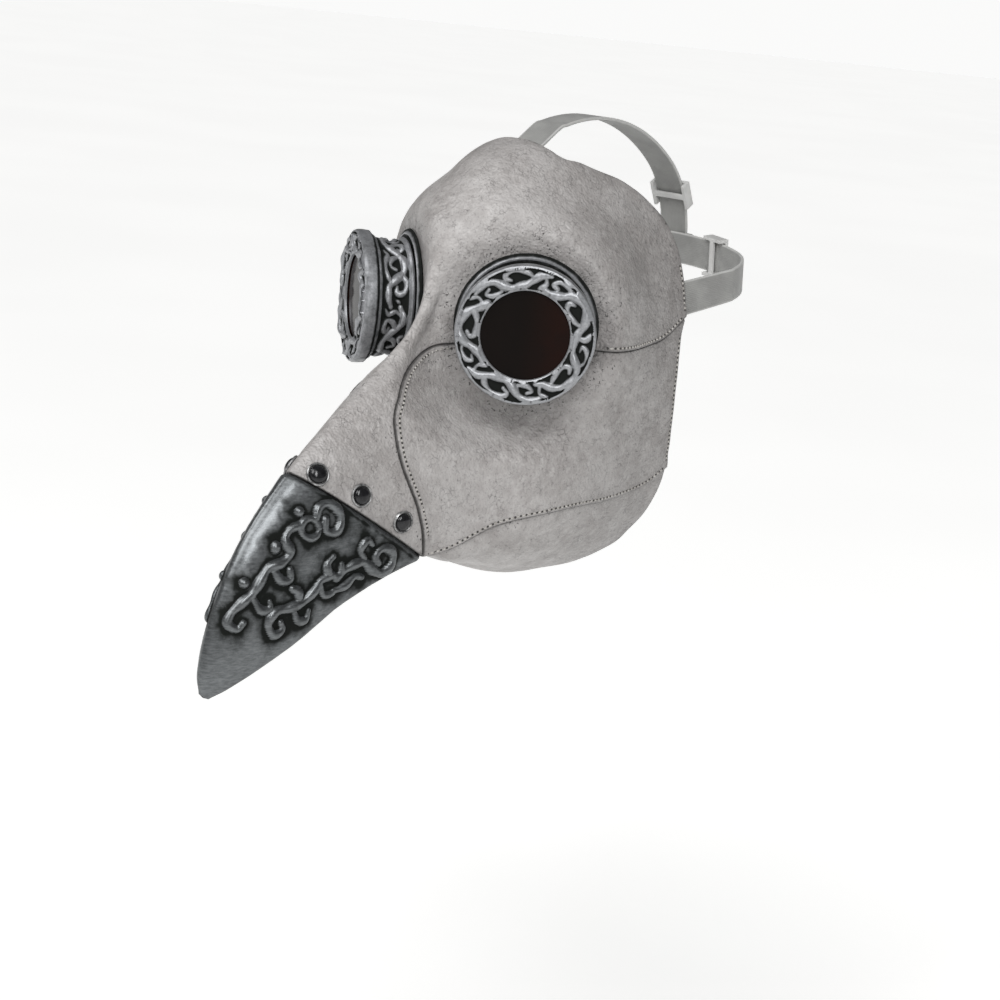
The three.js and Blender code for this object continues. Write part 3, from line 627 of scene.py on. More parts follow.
def antiquing_and_shade(rows):
    """Dark antiquing paint mixed with painted shade where the eyepieces, the seams and the cap's edge meet
    the leather; a painted shadow on the rear side of each eyepiece, painted shade that darkens the leather
    towards the back, and darker leather along the rim.
    """
    points = rows[:, P]
    off_flange = rows[:, OFF_EYE] + HOLE_R - FLANGE_R
    patchy = 0.75 + 0.45 * noise(points, 12, 8)
    # antiquing and painted shade in a ring round each flange
    around = 0.46 * np.exp(-np.clip(off_flange, 0, None) / 5.0)
    # painted shadow cast by each eyepiece on the leather behind it
    around += 0.55 * np.exp(-np.clip(off_flange, 0, None) / 9) * smooth((points[:, 1] + 62) / 26)
    # painted shade: the leather darker towards the back of the crown
    behind = 0.26 * smooth((points[:, 1] + 50) / 80)
    # painted shade where the cap's edge lies over the leather
    at_cap = 0.30 * np.exp(-rows[:, BEHIND_CAP] / 5)
    # antiquing and painted shade along the seams
    at_seam = 0.24 * np.exp(-np.minimum(np.abs(rows[:, ABOVE_TOP]), np.abs(rows[:, BELOW_BOTTOM])) / 1.6)
    # darker along the rim
    at_rim = 0.22 * np.exp(-rows[:, INSIDE_RIM] / 3)
    return np.clip((around + behind + at_cap + at_seam + at_rim) * patchy, 0, 0.85)


LEATHER_SHEET = leather_sheet()
BASE_FACE = (LEATHER_SHEET[0][:, P], LEATHER_SHEET[0][:, N])


def leather_panel(name, keep, kind, node):
    """One panel of leather with thickness, and the outer face that stitches can lie on."""
    rows, triangles = LEATHER_SHEET
    triangles = triangles[keep(rows[triangles].mean(1))]
    rows, triangles = compact(rows, triangles)

    def edge_of(rows):
        edges = [rows[:, BEHIND_CAP], rows[:, INSIDE_RIM]]
        edges += [np.abs(rows[:, ABOVE_TOP])] if kind != "chin" else []
        edges += [np.abs(rows[:, BELOW_BOTTOM])] if kind != "crown" else []
        return np.min(edges, 0)

    for level in EDGE_ROWS:
        rows, triangles = split(rows, triangles, edge_of(rows) - level)
    edge = edge_of(rows)
    normals = unit(rows[:, N])
    outer = rows[:, P] + normals * leather_lift(rows, kind, edge)[:, None]
    points, faces = shell(outer, rows[:, P] - normals * LEATHER, triangles)
    picks = (np.arange(len(faces)) >= len(faces) - len(triangles)).astype(int)
    off_flange = rows[:, OFF_EYE] + HOLE_R - FLANGE_R
    marks = {"seam": np.clip(edge, 0, 40), "eye": off_flange, "shade": antiquing_and_shade(rows)}
    make_piece(name, points, faces, [LEATHER_LOOK, LINING_LOOK], replaces=[node], picks=picks,
               marks={key: np.tile(values, 2) for key, values in marks.items()})
    return outer, normals


def is_cheek(middles, side):
    return (middles[:, ABOVE_TOP] < 0) & (middles[:, BELOW_BOTTOM] < 0) & (middles[:, 0] * side > 0)


def build_leather():
    """The four panels; gives back the outer faces of the crown and of each cheek."""
    crown = leather_panel("crown", lambda m: m[:, ABOVE_TOP] > 0, "crown", "crown_panel")
    leather_panel("chin", lambda m: m[:, BELOW_BOTTOM] > 0, "chin", "chin_panel")
    cheeks = {}
    for label, side in SIDES:
        cheeks[side] = leather_panel(f"cheek_{label}", lambda m: is_cheek(m, side), "cheek",
                                     f"cheek_panel_{label}")
    return crown, cheeks


crown_face, cheek_faces = build_leather()


def lay_on(face, yz, side=1):
    """Points and normals on an outer face, straight in from places on the side view."""
    points, normals = face
    usable = (points[:, 0] * side > 1) & (normals[:, 0] * side > 0.12)
    points, normals = points[usable], normals[usable]
    found, facing = [], []
    for y, z in yz:
        i = np.argmin((points[:, 1] - y) ** 2 + (points[:, 2] - z) ** 2)
        n = normals[i]
        x = points[i, 0] - (n[1] * (y - points[i, 1]) + n[2] * (z - points[i, 2])) / n[0]
        found.append((x, y, z))
        facing.append(n)
    return np.array(found), np.array(facing)


# ---------------------------------------------------------------- relief and turned rings

NO_STROKE = 20.0                    # the gap given where no stroke is near
BATCH = 4000                        # points worked on at once, to save memory


def relief(points, strokes, rise=0.85):
    """Height, and gap to the nearest stroke, at each point; a stroke is a line and half widths in space."""
    height, gap = np.zeros(len(points)), np.full(len(points), NO_STROKE)
    for line, widths in strokes:
        margin = widths.max() + 8
        near = ((points > line.min(0) - margin) & (points < line.max(0) + margin)).all(1).nonzero()[0]
        for start in range(0, len(near), BATCH):
            some = near[start:start + BATCH]
            a, run = line[:-1], np.diff(line, axis=0)
            off = points[some][:, None] - a
            h = np.clip((off * run).sum(-1) / (run ** 2).sum(-1), 0, 1)
            width = widths[:-1] + (widths[1:] - widths[:-1]) * h
            distance = np.linalg.norm(off - h[..., None] * run, axis=-1)
            bulge = width * np.clip(1 - (distance / width) ** 2, 0, None) ** 0.62
            height[some] = np.maximum(height[some], rise * bulge.max(1))
            gap[some] = np.minimum(gap[some], (distance - width).min(1))
    return height, gap


def tapered(count, half_width, blunt=0.45):
    """Half widths along a stroke that swells in the middle and narrows to blunt ends."""
    x = np.linspace(0, 1, count)
    swell = 1 + 0.14 * np.sin(count * 0.42 * x + half_width * 9)
    full = np.clip(np.sin(math.pi * (0.12 + 0.80 * x)), 0, 1) ** 0.5
    return half_width * swell * (blunt + (1 - blunt) * full)


def turned(profile, columns):
    """A closed ring from a closed outline of (radius, height, step to the next point)."""
    pieces = []
    for (r, q, step), (r_next, q_next, _) in zip(profile, [*profile[1:], profile[0]]):
        a, b = np.array([r, q], float), np.array([r_next, q_next], float)
        count = max(1, int(round(np.linalg.norm(b - a) / step)))
        pieces.append(a + (b - a) * (np.arange(count) / count)[:, None])
    ring = np.concatenate(pieces)
    angle = np.arange(columns) * 2 * math.pi / columns
    tangent = np.roll(ring, -1, 0) - np.roll(ring, 1, 0)
    tangent /= np.linalg.norm(tangent, axis=1, keepdims=True) + 1e-9
    area = (ring[:, 0] * np.roll(ring[:, 1], -1) - np.roll(ring[:, 0], -1) * ring[:, 1]).sum()
    out = np.stack([tangent[:, 1], -tangent[:, 0]], 1) * np.sign(area)

    def spun(rq):
        return np.stack([rq[:, :1] * np.cos(angle), rq[:, :1] * np.sin(angle),
                         np.repeat(rq[:, 1:], columns, 1)], -1).reshape(-1, 3)

    points, normals = spun(ring), spun(out)
    return points, normals, faced(points, grid_faces(len(ring), columns, looped=True), normals)


def frame_at(origin, axis):
    """An origin, and rows that point across, across and along an axis."""
    axis = unit(np.asarray(axis, float))
    side = unit(np.cross((0, 0, 1), axis))
    return np.asarray(origin, float), np.stack([side, np.cross(axis, side), axis])


def placed(points, where):
    origin, basis = where
    return points @ basis + origin


def mirrored(points, faces, side):
    """The same shape, on the wearer's left as it is or on the right as its mirror image."""
    return (points, faces) if side > 0 else (points * [-1, 1, 1], np.asarray(faces)[:, ::-1])


# ---------------------------------------------------------------- beak cap

SKIRT = 1.3                         # thickness of the cap's wall and of its skirt under the leather
SKIRT_LENGTH = 16
CAP_PROUD = 1.3                     # how far the cap stands out from the plain surface
CAP_ROUND = 2.6                     # radius of its worn rear edge
CAP_EDGE_ROWS = (0.3, 0.9, 2.0)
CAP_END, SKIRT_START, SKIRT_END = 4.5, 3.2, 5.6         # sections that take in the cap and its skirt
CAVITY_START = 1.0                  # the section ahead of which the cap is solid
CAP_STEP, SKIRT_STEP = 0.75, 2.0
WHEN = 7                            # the column of t in the cap's rows


def eyelet(y, z, radius):
    """A closed circle on the side view, whose ends lap."""
    angles = 2 * math.pi * np.linspace(0, 1.02, 14)
    return [(y + radius * math.cos(a), z + radius * math.sin(a)) for a in angles]


# generic scrollwork on each side of the cap: half width and the line's y, z
CAP_SCROLLS = [
    (2.9, [(-197, -99), (-202, -101), (-205, -106), (-203, -112), (-208, -117), (-215, -119), (-219, -124),
           (-224, -131), (-230, -136), (-235, -141), (-237, -146), (-233, -149), (-230, -146)]),
    (2.6, [(-213, -120), (-209, -126), (-204, -126), (-204, -121)]),
    (2.4, [(-225, -132), (-221, -140), (-216, -140), (-216, -136)]),
    (2.3, eyelet(-191, -101, 5.0)),
    (2.8, [(-187, -96), (-185, -91), (-180, -89), (-175, -92), (-173, -98), (-176, -104), (-182, -103),
           (-182, -97)]),
    (2.8, [(-196, -92.5), (-195, -92)]),
    (2.8, [(-228, -126), (-227, -126)]),
    (3.1, [(-210, -108), (-210.5, -111)]),
    (2.9, [(-179, -127), (-186, -129), (-190, -134), (-197, -139), (-205, -141), (-213, -142), (-217, -148),
           (-214, -154), (-209, -152), (-210, -148)]),
    (2.4, [(-203, -141), (-200, -148), (-195, -149), (-193, -144)]),
    (3.2, [(-203, -131), (-200, -133), (-199, -136)]),
    (2.5, [(-178, -117), (-182, -121), (-180, -127), (-174, -127), (-173, -122)]),
    (3.0, [(-176, -129), (-170, -125), (-164, -123), (-158, -123), (-152, -128), (-145, -131), (-139, -127),
           (-139, -120), (-146, -117), (-151, -121), (-148, -125)]),
    (2.5, [(-178, -136), (-170, -134), (-164, -130), (-159, -131)]),
    (2.4, [(-158, -121), (-161, -116), (-157, -111), (-153, -114)]),
    (2.3, [(-187, -130), (-184, -137), (-178, -137)]),
]


def cap_strokes(face):
    """The scrolls of both sides as lines in space on the cap's face."""
    strokes = []
    for half_width, line in CAP_SCROLLS:
        line = curve(line, 0.9)
        for _, side in SIDES:
            on_face, _ = lay_on(face, line, side)
            strokes.append((on_face, tapered(len(line), half_width)))
    return strokes


def beak_sheet(t_from, t_to, step):
    """The front of the surface as triangles, closed at its first row; rows hold point, normal, place behind
    the cap's edge and t."""
    points, normals, t = skin(t_from, t_to, step)
    count, columns = points.shape[:2]
    t = np.repeat(t, columns)
    points, normals = points.reshape(-1, 3), normals.reshape(-1, 3)
    first = np.arange(columns)
    quads = grid_faces(count, columns)
    fan = np.stack([np.roll(first, -1), first, np.full(columns, len(points))], 1)
    turned_over = (faced(points, quads, normals)[0] != quads[0]).any()
    triangles = np.concatenate([quads[:, [0, 1, 2]], quads[:, [0, 2, 3]], fan])
    rows = np.column_stack([points, normals, (points[:, 1:] - RIDGE) @ EDGE_REAR, t])
    middle = rows[:columns].mean(0)
    ahead = rows[:columns, P].mean(0) - rows[columns:2 * columns, P].mean(0)
    middle[N] = unit(ahead)
    return np.concatenate([rows, middle[None]]), triangles[:, ::-1] if turned_over else triangles


def cap_ink(rows, gap, height, edge):
    """Black in the hollows between the scrolls, none on the tip and the ridge, darker towards the rear,
    painted shade on the faces that look down, and a painted shadow line along the edge.
    """
    points = rows[:, P]
    patchy = noise(points, 8, 31) + 0.4 * noise(points, 2.5, 32)
    away = np.clip(gap, 0, None)
    between = np.exp(-(away / 6.5) ** 2)
    ink = (0.56 + 0.30 * patchy) * between + 0.62 * np.exp(-away / 1.3)
    ink *= 1 - 0.92 * smooth(height / 1.0)
    # darker towards the rear
    rear = smooth((points[:, 1] + 200) / 45) * (0.34 + 0.14 * patchy) * (1 - 0.6 * smooth(height / 1.3))
    # painted shade on the faces that look down
    low = 0.95 * smooth((-rows[:, 5] - 0.66) / 0.14)
    # painted shadow line along the cap's rounded rear edge
    line = 0.6 * np.exp(-((edge - 2.6) / 0.8) ** 2)
    return np.clip(np.maximum(ink, rear) + low + 0.03 + 0.07 * patchy + line * (0.7 + 0.4 * patchy), 0, 1)


def build_cap():
    """The cap with its scrollwork in relief, and the thin skirt that runs back under the leather."""
    depth = LEATHER + GAP
    rows, triangles = beak_sheet(0, CAP_END, CAP_STEP)
    rows, triangles = cut_to(rows, triangles, lambda r: -GAP - r[:, BEHIND_CAP])
    for level in CAP_EDGE_ROWS:
        rows, triangles = split(rows, triangles, -GAP - rows[:, BEHIND_CAP] - level)
    normals = unit(rows[:, N])
    base = rows[:, P] + normals * CAP_PROUD
    edge = -GAP - rows[:, BEHIND_CAP]
    height, gap = relief(base, cap_strokes((base, normals)))
    dents = (0.25 * noise(base, 16, 21) + 0.10 * noise(base, 5, 22)) * smooth(rows[:, WHEN])
    worn = CAP_ROUND * (1 - np.sqrt(1 - np.clip(1 - edge / CAP_ROUND, 0, 1) ** 2))
    outer = base + normals * (height + dents - worn)[:, None]
    inner = rows[:, P] - normals * (depth + SKIRT)
    hollow = rows[:, WHEN] >= CAVITY_START
    inner[~hollow] = inner[hollow & (rows[:, WHEN] < CAVITY_START + 0.06)].mean(0)
    points, faces = shell(outer, inner, triangles)
    skirt, strip = cut_to(*beak_sheet(SKIRT_START, SKIRT_END, SKIRT_STEP), lambda r: r[:, BEHIND_CAP] + GAP,
                          lambda r: SKIRT_LENGTH - r[:, BEHIND_CAP])
    base, normals = skirt[:, P], skirt[:, N]
    under, under_faces = shell(base - normals * depth, base - normals * (depth + SKIRT), strip)
    ink = np.concatenate([cap_ink(rows, gap, height, edge), np.full(len(rows) + len(under), 0.5)])
    points, faces = joined((points, faces.tolist()), (under, under_faces.tolist()))
    make_piece("beak_cap_silver", points, faces, [CAP_LOOK], replaces=["beak_cap"],
               # the ink mark carries antique black and, on the cap, painted shade
               marks={"ink": ink})


build_cap()

# ---------------------------------------------------------------- eyepieces

BEZEL_FACE = 104.8                  # the sunk face that carries the bezel's scrolls
# outlines of the turned parts: radius, place along the eyepiece's axis, step to the next point
BEZEL = [(28.8, 97.3, 2), (36.6, 97.3, 0.8), (37.8, 98.4, 1), (38.1, 101.5, 1), (38.0, 104.0, 0.6),
         (37.4, 105.5, 0.5), (36.5, 105.9, 0.5), (35.7, BEZEL_FACE, 0.5), (25.6, BEZEL_FACE, 0.5),
         (24.9, 105.5, 0.4), (24.3, 105.1, 0.4), (24.0, 103.8, 2), (28.8, 103.8, 2)]
WAIST = [(32.6, 79.6), (31.2, 82.5), (31.0, 86), (31.8, 90), (33.2, 93.4), (34.4, 95.0)]
BARREL = [(25, 66.1, 3), (27.6, 66.1, 3), (27.6, 76.6, 2), (34.4, 76.6, 0.7), (34.9, 77.6, 0.7),
          (34.2, 78.6, 0.55), *((r, q, 0.55) for r, q in WAIST), (35.4, 95.6, 0.7), (35.8, 96.4, 0.7),
          (35.4, 97, 2), (25, 97, 3)]
FLANGE = [(28, 73.3, 3), (39.6, 73.3, 0.6), (40, 73.9, 0.6), (39.6, 74.9, 0.6), (38.6, 75.0, 0.5),
          (38.2, 75.6, 0.4), (37.5, 76.2, 0.4), (36.7, 76.1, 0.4), (36.2, 75.4, 0.5), (35.6, 75.2, 1),
          (28, 75.2, 3)]
GASKET = [(25.6, 97.3, 1), (28.4, 97.3, 1), (28.4, 100.8, 1), (25.6, 100.8, 1)]
CLAMP = [(28, 67.3, 1), (28.2, 67.1, 1), (36.2, 67.1, 0.5), (36.5, 67.5, 1), (36.5, 69.8, 0.5),
         (36.2, 70.1, 1), (28, 70.1, 1)]
LENS = [(0.01, 101.2, 4), (28.2, 101.2, 1), (28.4, 101.5, 1), (28.4, 102.7, 0.5), (28.0, 103.0, 1.5),
        (14, 103.45, 2), (0.01, 103.6, 2)]
# one length of scrollwork: half width and the line, along and across, in millimetres
BEZEL_MOTIF = [
    (2.6, [(-19.5, -4.2), (-15, -2.6), (-11, 1.2), (-6, 3.9), (0, 4.6), (5, 2.4), (9, -1.8), (14, -4.4),
           (19.5, -4.2)]),
    (1.9, [(-12, 0.6), (-9.4, -2.6), (-4.4, -4.6), (1.2, -4.4), (3.4, -1.8), (0.6, 0.2)]),
    (1.8, [(6, 2.0), (9.4, 4.2), (14, 3.6), (16.6, 0.6), (13.6, -0.4)]),
    (1.8, [(-17.5, -2.6), (-18.6, 1.4), (-15.6, 4.6)]),
]
BARREL_MOTIF = [
    (2.5, [(-25, -3), (-19, -5.5), (-13, -3.5), (-8, 2), (-2, 5.2), (5, 4.6), (9, 0.5), (14, -4.2),
           (20, -4.8), (25, -3)]),
    (1.9, [(-11, -1.5), (-16, 0.5), (-17.5, 4.6), (-13, 6.4), (-10.4, 4.2), (-12.8, 2.8)]),
    (1.9, [(6.5, 3.6), (11.5, 6.2), (17, 4.6), (17.4, 0.6), (13.8, 0.6)]),
    (1.9, [(-5.5, 3.6), (-3.5, -1.5), (1.5, -3.2), (3.6, 0.2)]),
    (1.8, [(-19, -5), (-22.5, -0.5), (-21, 4), (-24, 6.2)]),
    (1.8, [(12, -3), (7, -6.2), (0, -6.4), (-5, -4.4), (-8, -6.4)]),
    (2.0, [(21.5, 0.5), (22.5, 2.2)]),
]
BEZEL_CELLS, BARREL_CELLS = 5, 4     # how often each motif goes round
BEZEL_MIDDLE, BARREL_MIDDLE = 30.8, 86.9        # the radius and the height that the scrolls run along
CHANCE = np.random.default_rng(7)


def ring_strokes(cells, motif, reach, place):
    """A motif repeated round a ring, every other one turned over, each a little different."""
    strokes = []
    for cell in range(cells):
        flip = -1 if cell % 2 else 1
        for half_width, line in motif:
            line = curve(line, 0.8) * [1, flip]
            line[:, 1] += 0.5 * (CHANCE.random() - 0.5) * np.clip(1 - (np.abs(line[:, 0]) - 9) / 4, 0, 1)
            angle = (cell + 0.5) * 2 * math.pi / cells + line[:, 0] / reach
            half_width *= 0.92 + 0.2 * CHANCE.random()
            strokes.append((place(angle, line[:, 1]), tapered(len(line), half_width, 0.6)))
    return strokes


def on_bezel(angle, across):
    r = BEZEL_MIDDLE + across
    return np.stack([r * np.cos(angle), r * np.sin(angle), np.full(len(angle), BEZEL_FACE)], 1)


def on_barrel(angle, across):
    height = BARREL_MIDDLE + across
    radii, heights = zip(*WAIST)
    r = np.interp(height, heights, radii)
    return np.stack([r * np.cos(angle), r * np.sin(angle), height], 1)


def carved(profile, strokes, zone, columns, rise):
    """A turned ring with scrolls standing up from the part of it that zone picks, and their ink."""
    points, normals, faces = turned(profile, columns)
    chosen = zone(points, normals)
    height, gap = relief(points, strokes, rise)
    height = height * chosen
    fade = smooth((NO_STROKE - gap) / 2)
    ink = chosen * (1.0 - 0.97 * smooth((height - 0.4) / 1.5)) * fade
    dents = 0.14 * noise(points, 5, 41)
    return points + normals * (height + dents)[:, None], faces, ink


def worn_ink(points, amount):
    """Patchy black left in the hollows of a plain ring."""
    return np.clip(amount + 0.22 * noise(points, 4.0, 51), 0, 1)


def bezel_zone(points, normals):
    """The sunk front face, between the rims."""
    on_face = (points[:, 2] > BEZEL_FACE - 0.6) & (normals[:, 2] > 0.5)
    return on_face & (np.abs(radius_of(points) - 30.7) < 5.8)


def barrel_zone(points, _):
    """The outside of the waist."""
    return (radius_of(points) > 30) & (points[:, 2] > 79.4) & (points[:, 2] < 95.2)


def build_eyepiece(label, side):
    where = frame_at((0, 0, 0), EYE_AXIS)

    def ring(piece, node, points, faces, material, slot, **marks):
        points, faces = mirrored(placed(points, where), faces, side)
        make_piece(f"{piece}_{label}", points, faces, [material], replaces=[f"{node}_{label}"],
                   marks=marks)

    strokes = ring_strokes(BEZEL_CELLS, BEZEL_MOTIF, 31, on_bezel)
    points, faces, ink = carved(BEZEL, strokes, bezel_zone, 400, 1.0)
    r = radius_of(points)
    rim = (r > 37.4) * worn_ink(points, 0.26)
    groove = 0.9 * np.exp(-np.clip(r - 37, 0, 9) / 9) * (points[:, 2] < 99.2)
    ink = np.maximum.reduce([ink, rim, groove])
    ring("bezel_ring", "eye_bezel", points, faces, EYE_LOOK, "antique_silver", ink=ink)

    strokes = ring_strokes(BARREL_CELLS, BARREL_MOTIF, 32, on_barrel)
    points, faces, ink = carved(BARREL, strokes, barrel_zone, 360, 0.95)
    rest = (ink == 0) * worn_ink(points, 0.35) * (radius_of(points) > 34)
    ring("barrel_ring", "eye_barrel", points, faces, EYE_LOOK, "antique_silver", ink=np.maximum(ink, rest))

    points, normals, faces = turned(FLANGE, 240)
    ink = np.clip(0.95 - 1.1 * np.exp(-((radius_of(points) - 37.3) / 0.9) ** 2), 0, 1) * 0.9
    ink = np.maximum(ink, worn_ink(points, 0.1))
    points = points + normals * (0.12 * noise(points, 4, 43))[:, None]
    ring("flange_ring", "eye_flange", points, faces, EYE_LOOK, "antique_silver", ink=ink)

    points, _, faces = turned(GASKET, 120)
    ring("gasket_ring", "eye_gasket", points, faces, RUBBER_LOOK, "rubber_black")
    points, _, faces = turned(CLAMP, 120)
    ring("clamp_ring_ring", "eye_clamp_ring", points, faces, DARK_LOOK, "dark_metal")
    points, _, faces = turned(LENS, 120)
    # the mark side gives the lens its painted light towards one side
    ring("lens_disc", "lens", points, faces, LENS_LOOK, "lens_dark", side=points[:, 0] / 24)


for label, side in SIDES:
    build_eyepiece(label, side)

# ---------------------------------------------------------------- rivets, seam tapes and stitches

RIVET_TAIL = -(LEATHER + GAP + SKIRT) - 2.4
DOME = [(4.8 * math.cos(a), 0.6 + 2.5 * math.sin(a), 0.5) for a in np.radians(range(0, 90, 12))]
RIVET = [(0.01, RIVET_TAIL, 1), (1.8, RIVET_TAIL, 1), (1.8, 0.2, 1), (4.6, 0.2, 1), (4.8, 0.4, 1), *DOME,
         (0.01, 3.1, 1)]
RIVET_RING = [(5.0, -0.1, 1), (6.2, -0.1, 0.4), (6.4, 0.3, 0.4), (6.2, 0.9, 0.4), (5.7, 1.3, 0.4),
              (5.2, 1.0, 0.4), (5.0, 0.6, 1)]
BURR = [(2.1, -6.2, 1), (4.0, -6.2, 0.4), (4.2, -6.0, 1), (4.2, -5.4, 0.4), (4.0, -5.2, 1), (2.1, -5.2, 1)]
LONGEST_STITCH = 7.8                # no thread crosses a wider gap in a run
SEAM_INSET, RIM_INSET, CROWN_RIM_INSET = 2.1, 2.2, 2.4  # from a seam or rim to its row of stitches
TAPE_WIDTH, TAPE = 12, 1.0


def build_rivets():
    sites, normals = lay_on(BASE_FACE, RIVETS)
    for i, (site, normal) in enumerate(zip(sites, normals), 1):
        where = frame_at(site, normal)
        for label, side in SIDES:
            for kind, profile, material, slot in (
                    ("rivet", RIVET, DARK_LOOK, "dark_metal"),
                    ("rivet_ring", RIVET_RING, RING_LOOK, "rivet_ring_silver"),
                    ("rivet_burr", BURR, DARK_LOOK, "dark_metal")):
                points, _, faces = turned(profile, 32)
                points, faces = mirrored(placed(points, where), faces, side)
                make_piece(f"{kind}_fine_{label}_{i}", points, faces, [material],
                           replaces=[f"{kind}_{label}_{i}"])


def build_tapes():
    depth = LEATHER + GAP
    for seam, field in (("top", ABOVE_TOP), ("bottom", BELOW_BOTTOM)):
        for label, side in SIDES:
            rows, triangles = cut_to(
                *LEATHER_SHEET,
                lambda r: TAPE_WIDTH / 2 - np.abs(r[:, field]),
                lambda r: 20 - r[:, 1],
                lambda r: r[:, BEHIND_CAP] - SKIRT_LENGTH - 1,
                lambda r: r[:, OFF_EYE] + HOLE_R - FLANGE_R - 1,
                lambda r: r[:, 0] * side - 1)
            base, normals = rows[:, P], unit(rows[:, N])
            points, faces = shell(base - normals * depth, base - normals * (depth + TAPE), triangles)
            make_piece(f"seam_tape_{seam}_{label}", points, faces, [TAPE_LOOK],
                       replaces=[f"cheek_{seam}_seam_tape_{label}"])


def shifted(line, distance):
    """A line on the side view moved sideways, to the left of its direction."""
    line = np.asarray(line, float)
    run = unit(np.gradient(line, axis=0))
    return line + distance * np.stack([-run[:, 1], run[:, 0]], 1)


def capsule(start, end, normal, radius, arch):
    """A short thread that rises out of the surface and dips back in."""
    t = np.array([0, 0.12, 0.35, 0.65, 0.88, 1.0])
    line = start + (end - start) * t[:, None] + normal * (arch * np.sin(math.pi * t) - 0.25)[:, None]
    across = unit(np.cross(end - start, normal))
    width = radius * np.array([0.35, 0.85, 1, 1, 0.85, 0.35])
    a = np.arange(6) * math.pi / 3
    rings = line[:, None] + width[:, None, None] * (across * np.cos(a)[:, None] + normal * np.sin(a)[:, None])
    return rings.reshape(-1, 3), tube_faces(6, 6)


def pit(centre, normal, radius):
    """A low dark button where the needle went in, painted as the shadow inside the hole."""
    where = frame_at(centre, normal if abs(normal[2]) < 0.99 else (0.1, 0, 1))
    a = np.arange(8) * math.pi / 4
    rim = np.stack([radius * np.cos(a), radius * np.sin(a), np.full(8, -0.25)], 1)
    low = rim * [0.8, 0.8, 1] + [0, 0, 0.33]
    points = np.concatenate([rim, low, [[0, 0, 0.02]]])
    faces = grid_faces(2, 8).tolist() + [[8 + i, 8 + (i + 1) % 8, 16] for i in range(8)]
    return placed(points, where), faces


def stitch_run(points, normals, thread=0.58, hole=0.80):
    """Threads, and low dark buttons painted as the shadow in the needle holes, along points that are one
    stitch apart.
    """
    threads, holes = [], []
    for a, b, n in zip(points[:-1], points[1:], normals):
        if np.linalg.norm(b - a) < LONGEST_STITCH:
            gap = 0.22 * (b - a)
            threads.append(capsule(a + gap, b - gap, n, thread, 0.42))
    for a, n in zip(points, normals):
        holes.append(pit(a, n, hole))
    return threads, holes


def stitch_piece(name, runs, body="mask"):
    """One piece from several runs of stitches."""
    threads = [t for run in runs for t in run[0]]
    holes = [h for run in runs for h in run[1]]
    points, faces = joined(*threads, *holes)
    count = sum(len(f) for _, f in threads)
    picks = np.where(np.arange(len(faces)) < count, 0, 1)
    make_piece(name, points, faces, [THREAD_LOOK, HOLE_SHADOW_LOOK], body=body, picks=picks,
               sharp=70)


def sewn(face, line, side, pitch, keep):
    """A run of stitches along the part of a line that keep picks, clear of the eyepiece."""
    yz = curve(line, pitch)
    points, normals = lay_on(face, yz[keep(yz[:, 0], yz[:, 1])], side)
    clear = eye_polar(points)[1] > FLANGE_R + 2.2
    return stitch_run(points[clear], normals[clear])


def build_stitches():
    """Each run has a face, a line, a side, a pitch and the stretch of the line that is sewn."""
    for label, side in SIDES:
        cheek = cheek_faces[side]
        runs = [
            sewn(cheek, shifted(top_line, -SEAM_INSET), side, 2.5, lambda y, z: (y < -62) & (z > -114)),
            sewn(crown_face, shifted(top_line, SEAM_INSET), side, 3.2, lambda y, z: (y > -47) & (y < 43)),
            sewn(cheek, shifted(bottom_line, SEAM_INSET), side, 3.0, lambda y, z: (y > -112) & (y < 47)),
            sewn(cheek, shifted(rim_line, -RIM_INSET), side, 2.8, lambda y, z: (z < -8) & (z > -86)),
            sewn(crown_face, shifted(rim_line, -CROWN_RIM_INSET), side, 2.8, lambda y, z: (z < 34) & (z > 5)),
        ]
        stitch_piece(f"stitches_{label}", runs)


build_rivets()
build_tapes()
build_stitches()

# ---------------------------------------------------------------- harness

STRAP_WIDTH, STRAP_THICK = 20, 1.8
PATCH_WIDTH, PATCH_THICK, PATCH_PITCH = 26, 1.4, 2.9
TILT = math.radians(8)              # the back strap rises this much towards the back
STRAP_Z, STRAP_RISE_FROM = 13.5, 47
REAR_ARC_R, SIDE_ARC_R, STRAP_HALF, REAR_Y = 105, 52, 81.5, 150
CROWN_ARC_R, NAPE_ARC_R = 140, 66
TOP_CENTRE = np.array([0, 42, -30.5])
STRAP_DEPTH = LEATHER + GAP + STRAP_THICK / 2 + 1       # from the leather's outer face to a strap's middle
PATCH_DEPTH = STRAP_DEPTH + STRAP_THICK + GAP + 0.2
TOP_SLACK = 2.8                     # the top strap lies this much deeper
BAND_CORNER, BAND_STEP = 0.55, 1.6
MELT_SIZE = 0.4                     # mesh size of the moulded sliders
BACK_SLIDER_ANGLE, TOP_SLIDER_ANGLE = math.radians(21), math.radians(60)
STRAP_UP = np.array([0, -math.sin(TILT), math.cos(TILT)])
REAR_OUT = np.array([0, math.cos(TILT), math.sin(TILT)])
REAR_CENTRE_Y = REAR_Y - REAR_ARC_R
X_AXIS = np.array([1.0, 0, 0])


def on_strap_plane(x, y):
    return np.array([x, y, STRAP_Z + (y - STRAP_RISE_FROM) * math.tan(TILT)])


JUNCTION = on_strap_plane(0, REAR_Y) + REAR_OUT * (STRAP_THICK + GAP)


def nape_centre():
    """Centre of the arc down the back of the head: it leaves the crown arc and meets the junction's line."""
    start = JUNCTION - REAR_OUT * NAPE_ARC_R
    off = start - TOP_CENTRE
    b = off @ STRAP_UP
    rise = -b + math.sqrt(b * b - (off @ off - (CROWN_ARC_R - NAPE_ARC_R) ** 2))
    return start + STRAP_UP * rise


NAPE = nape_centre()


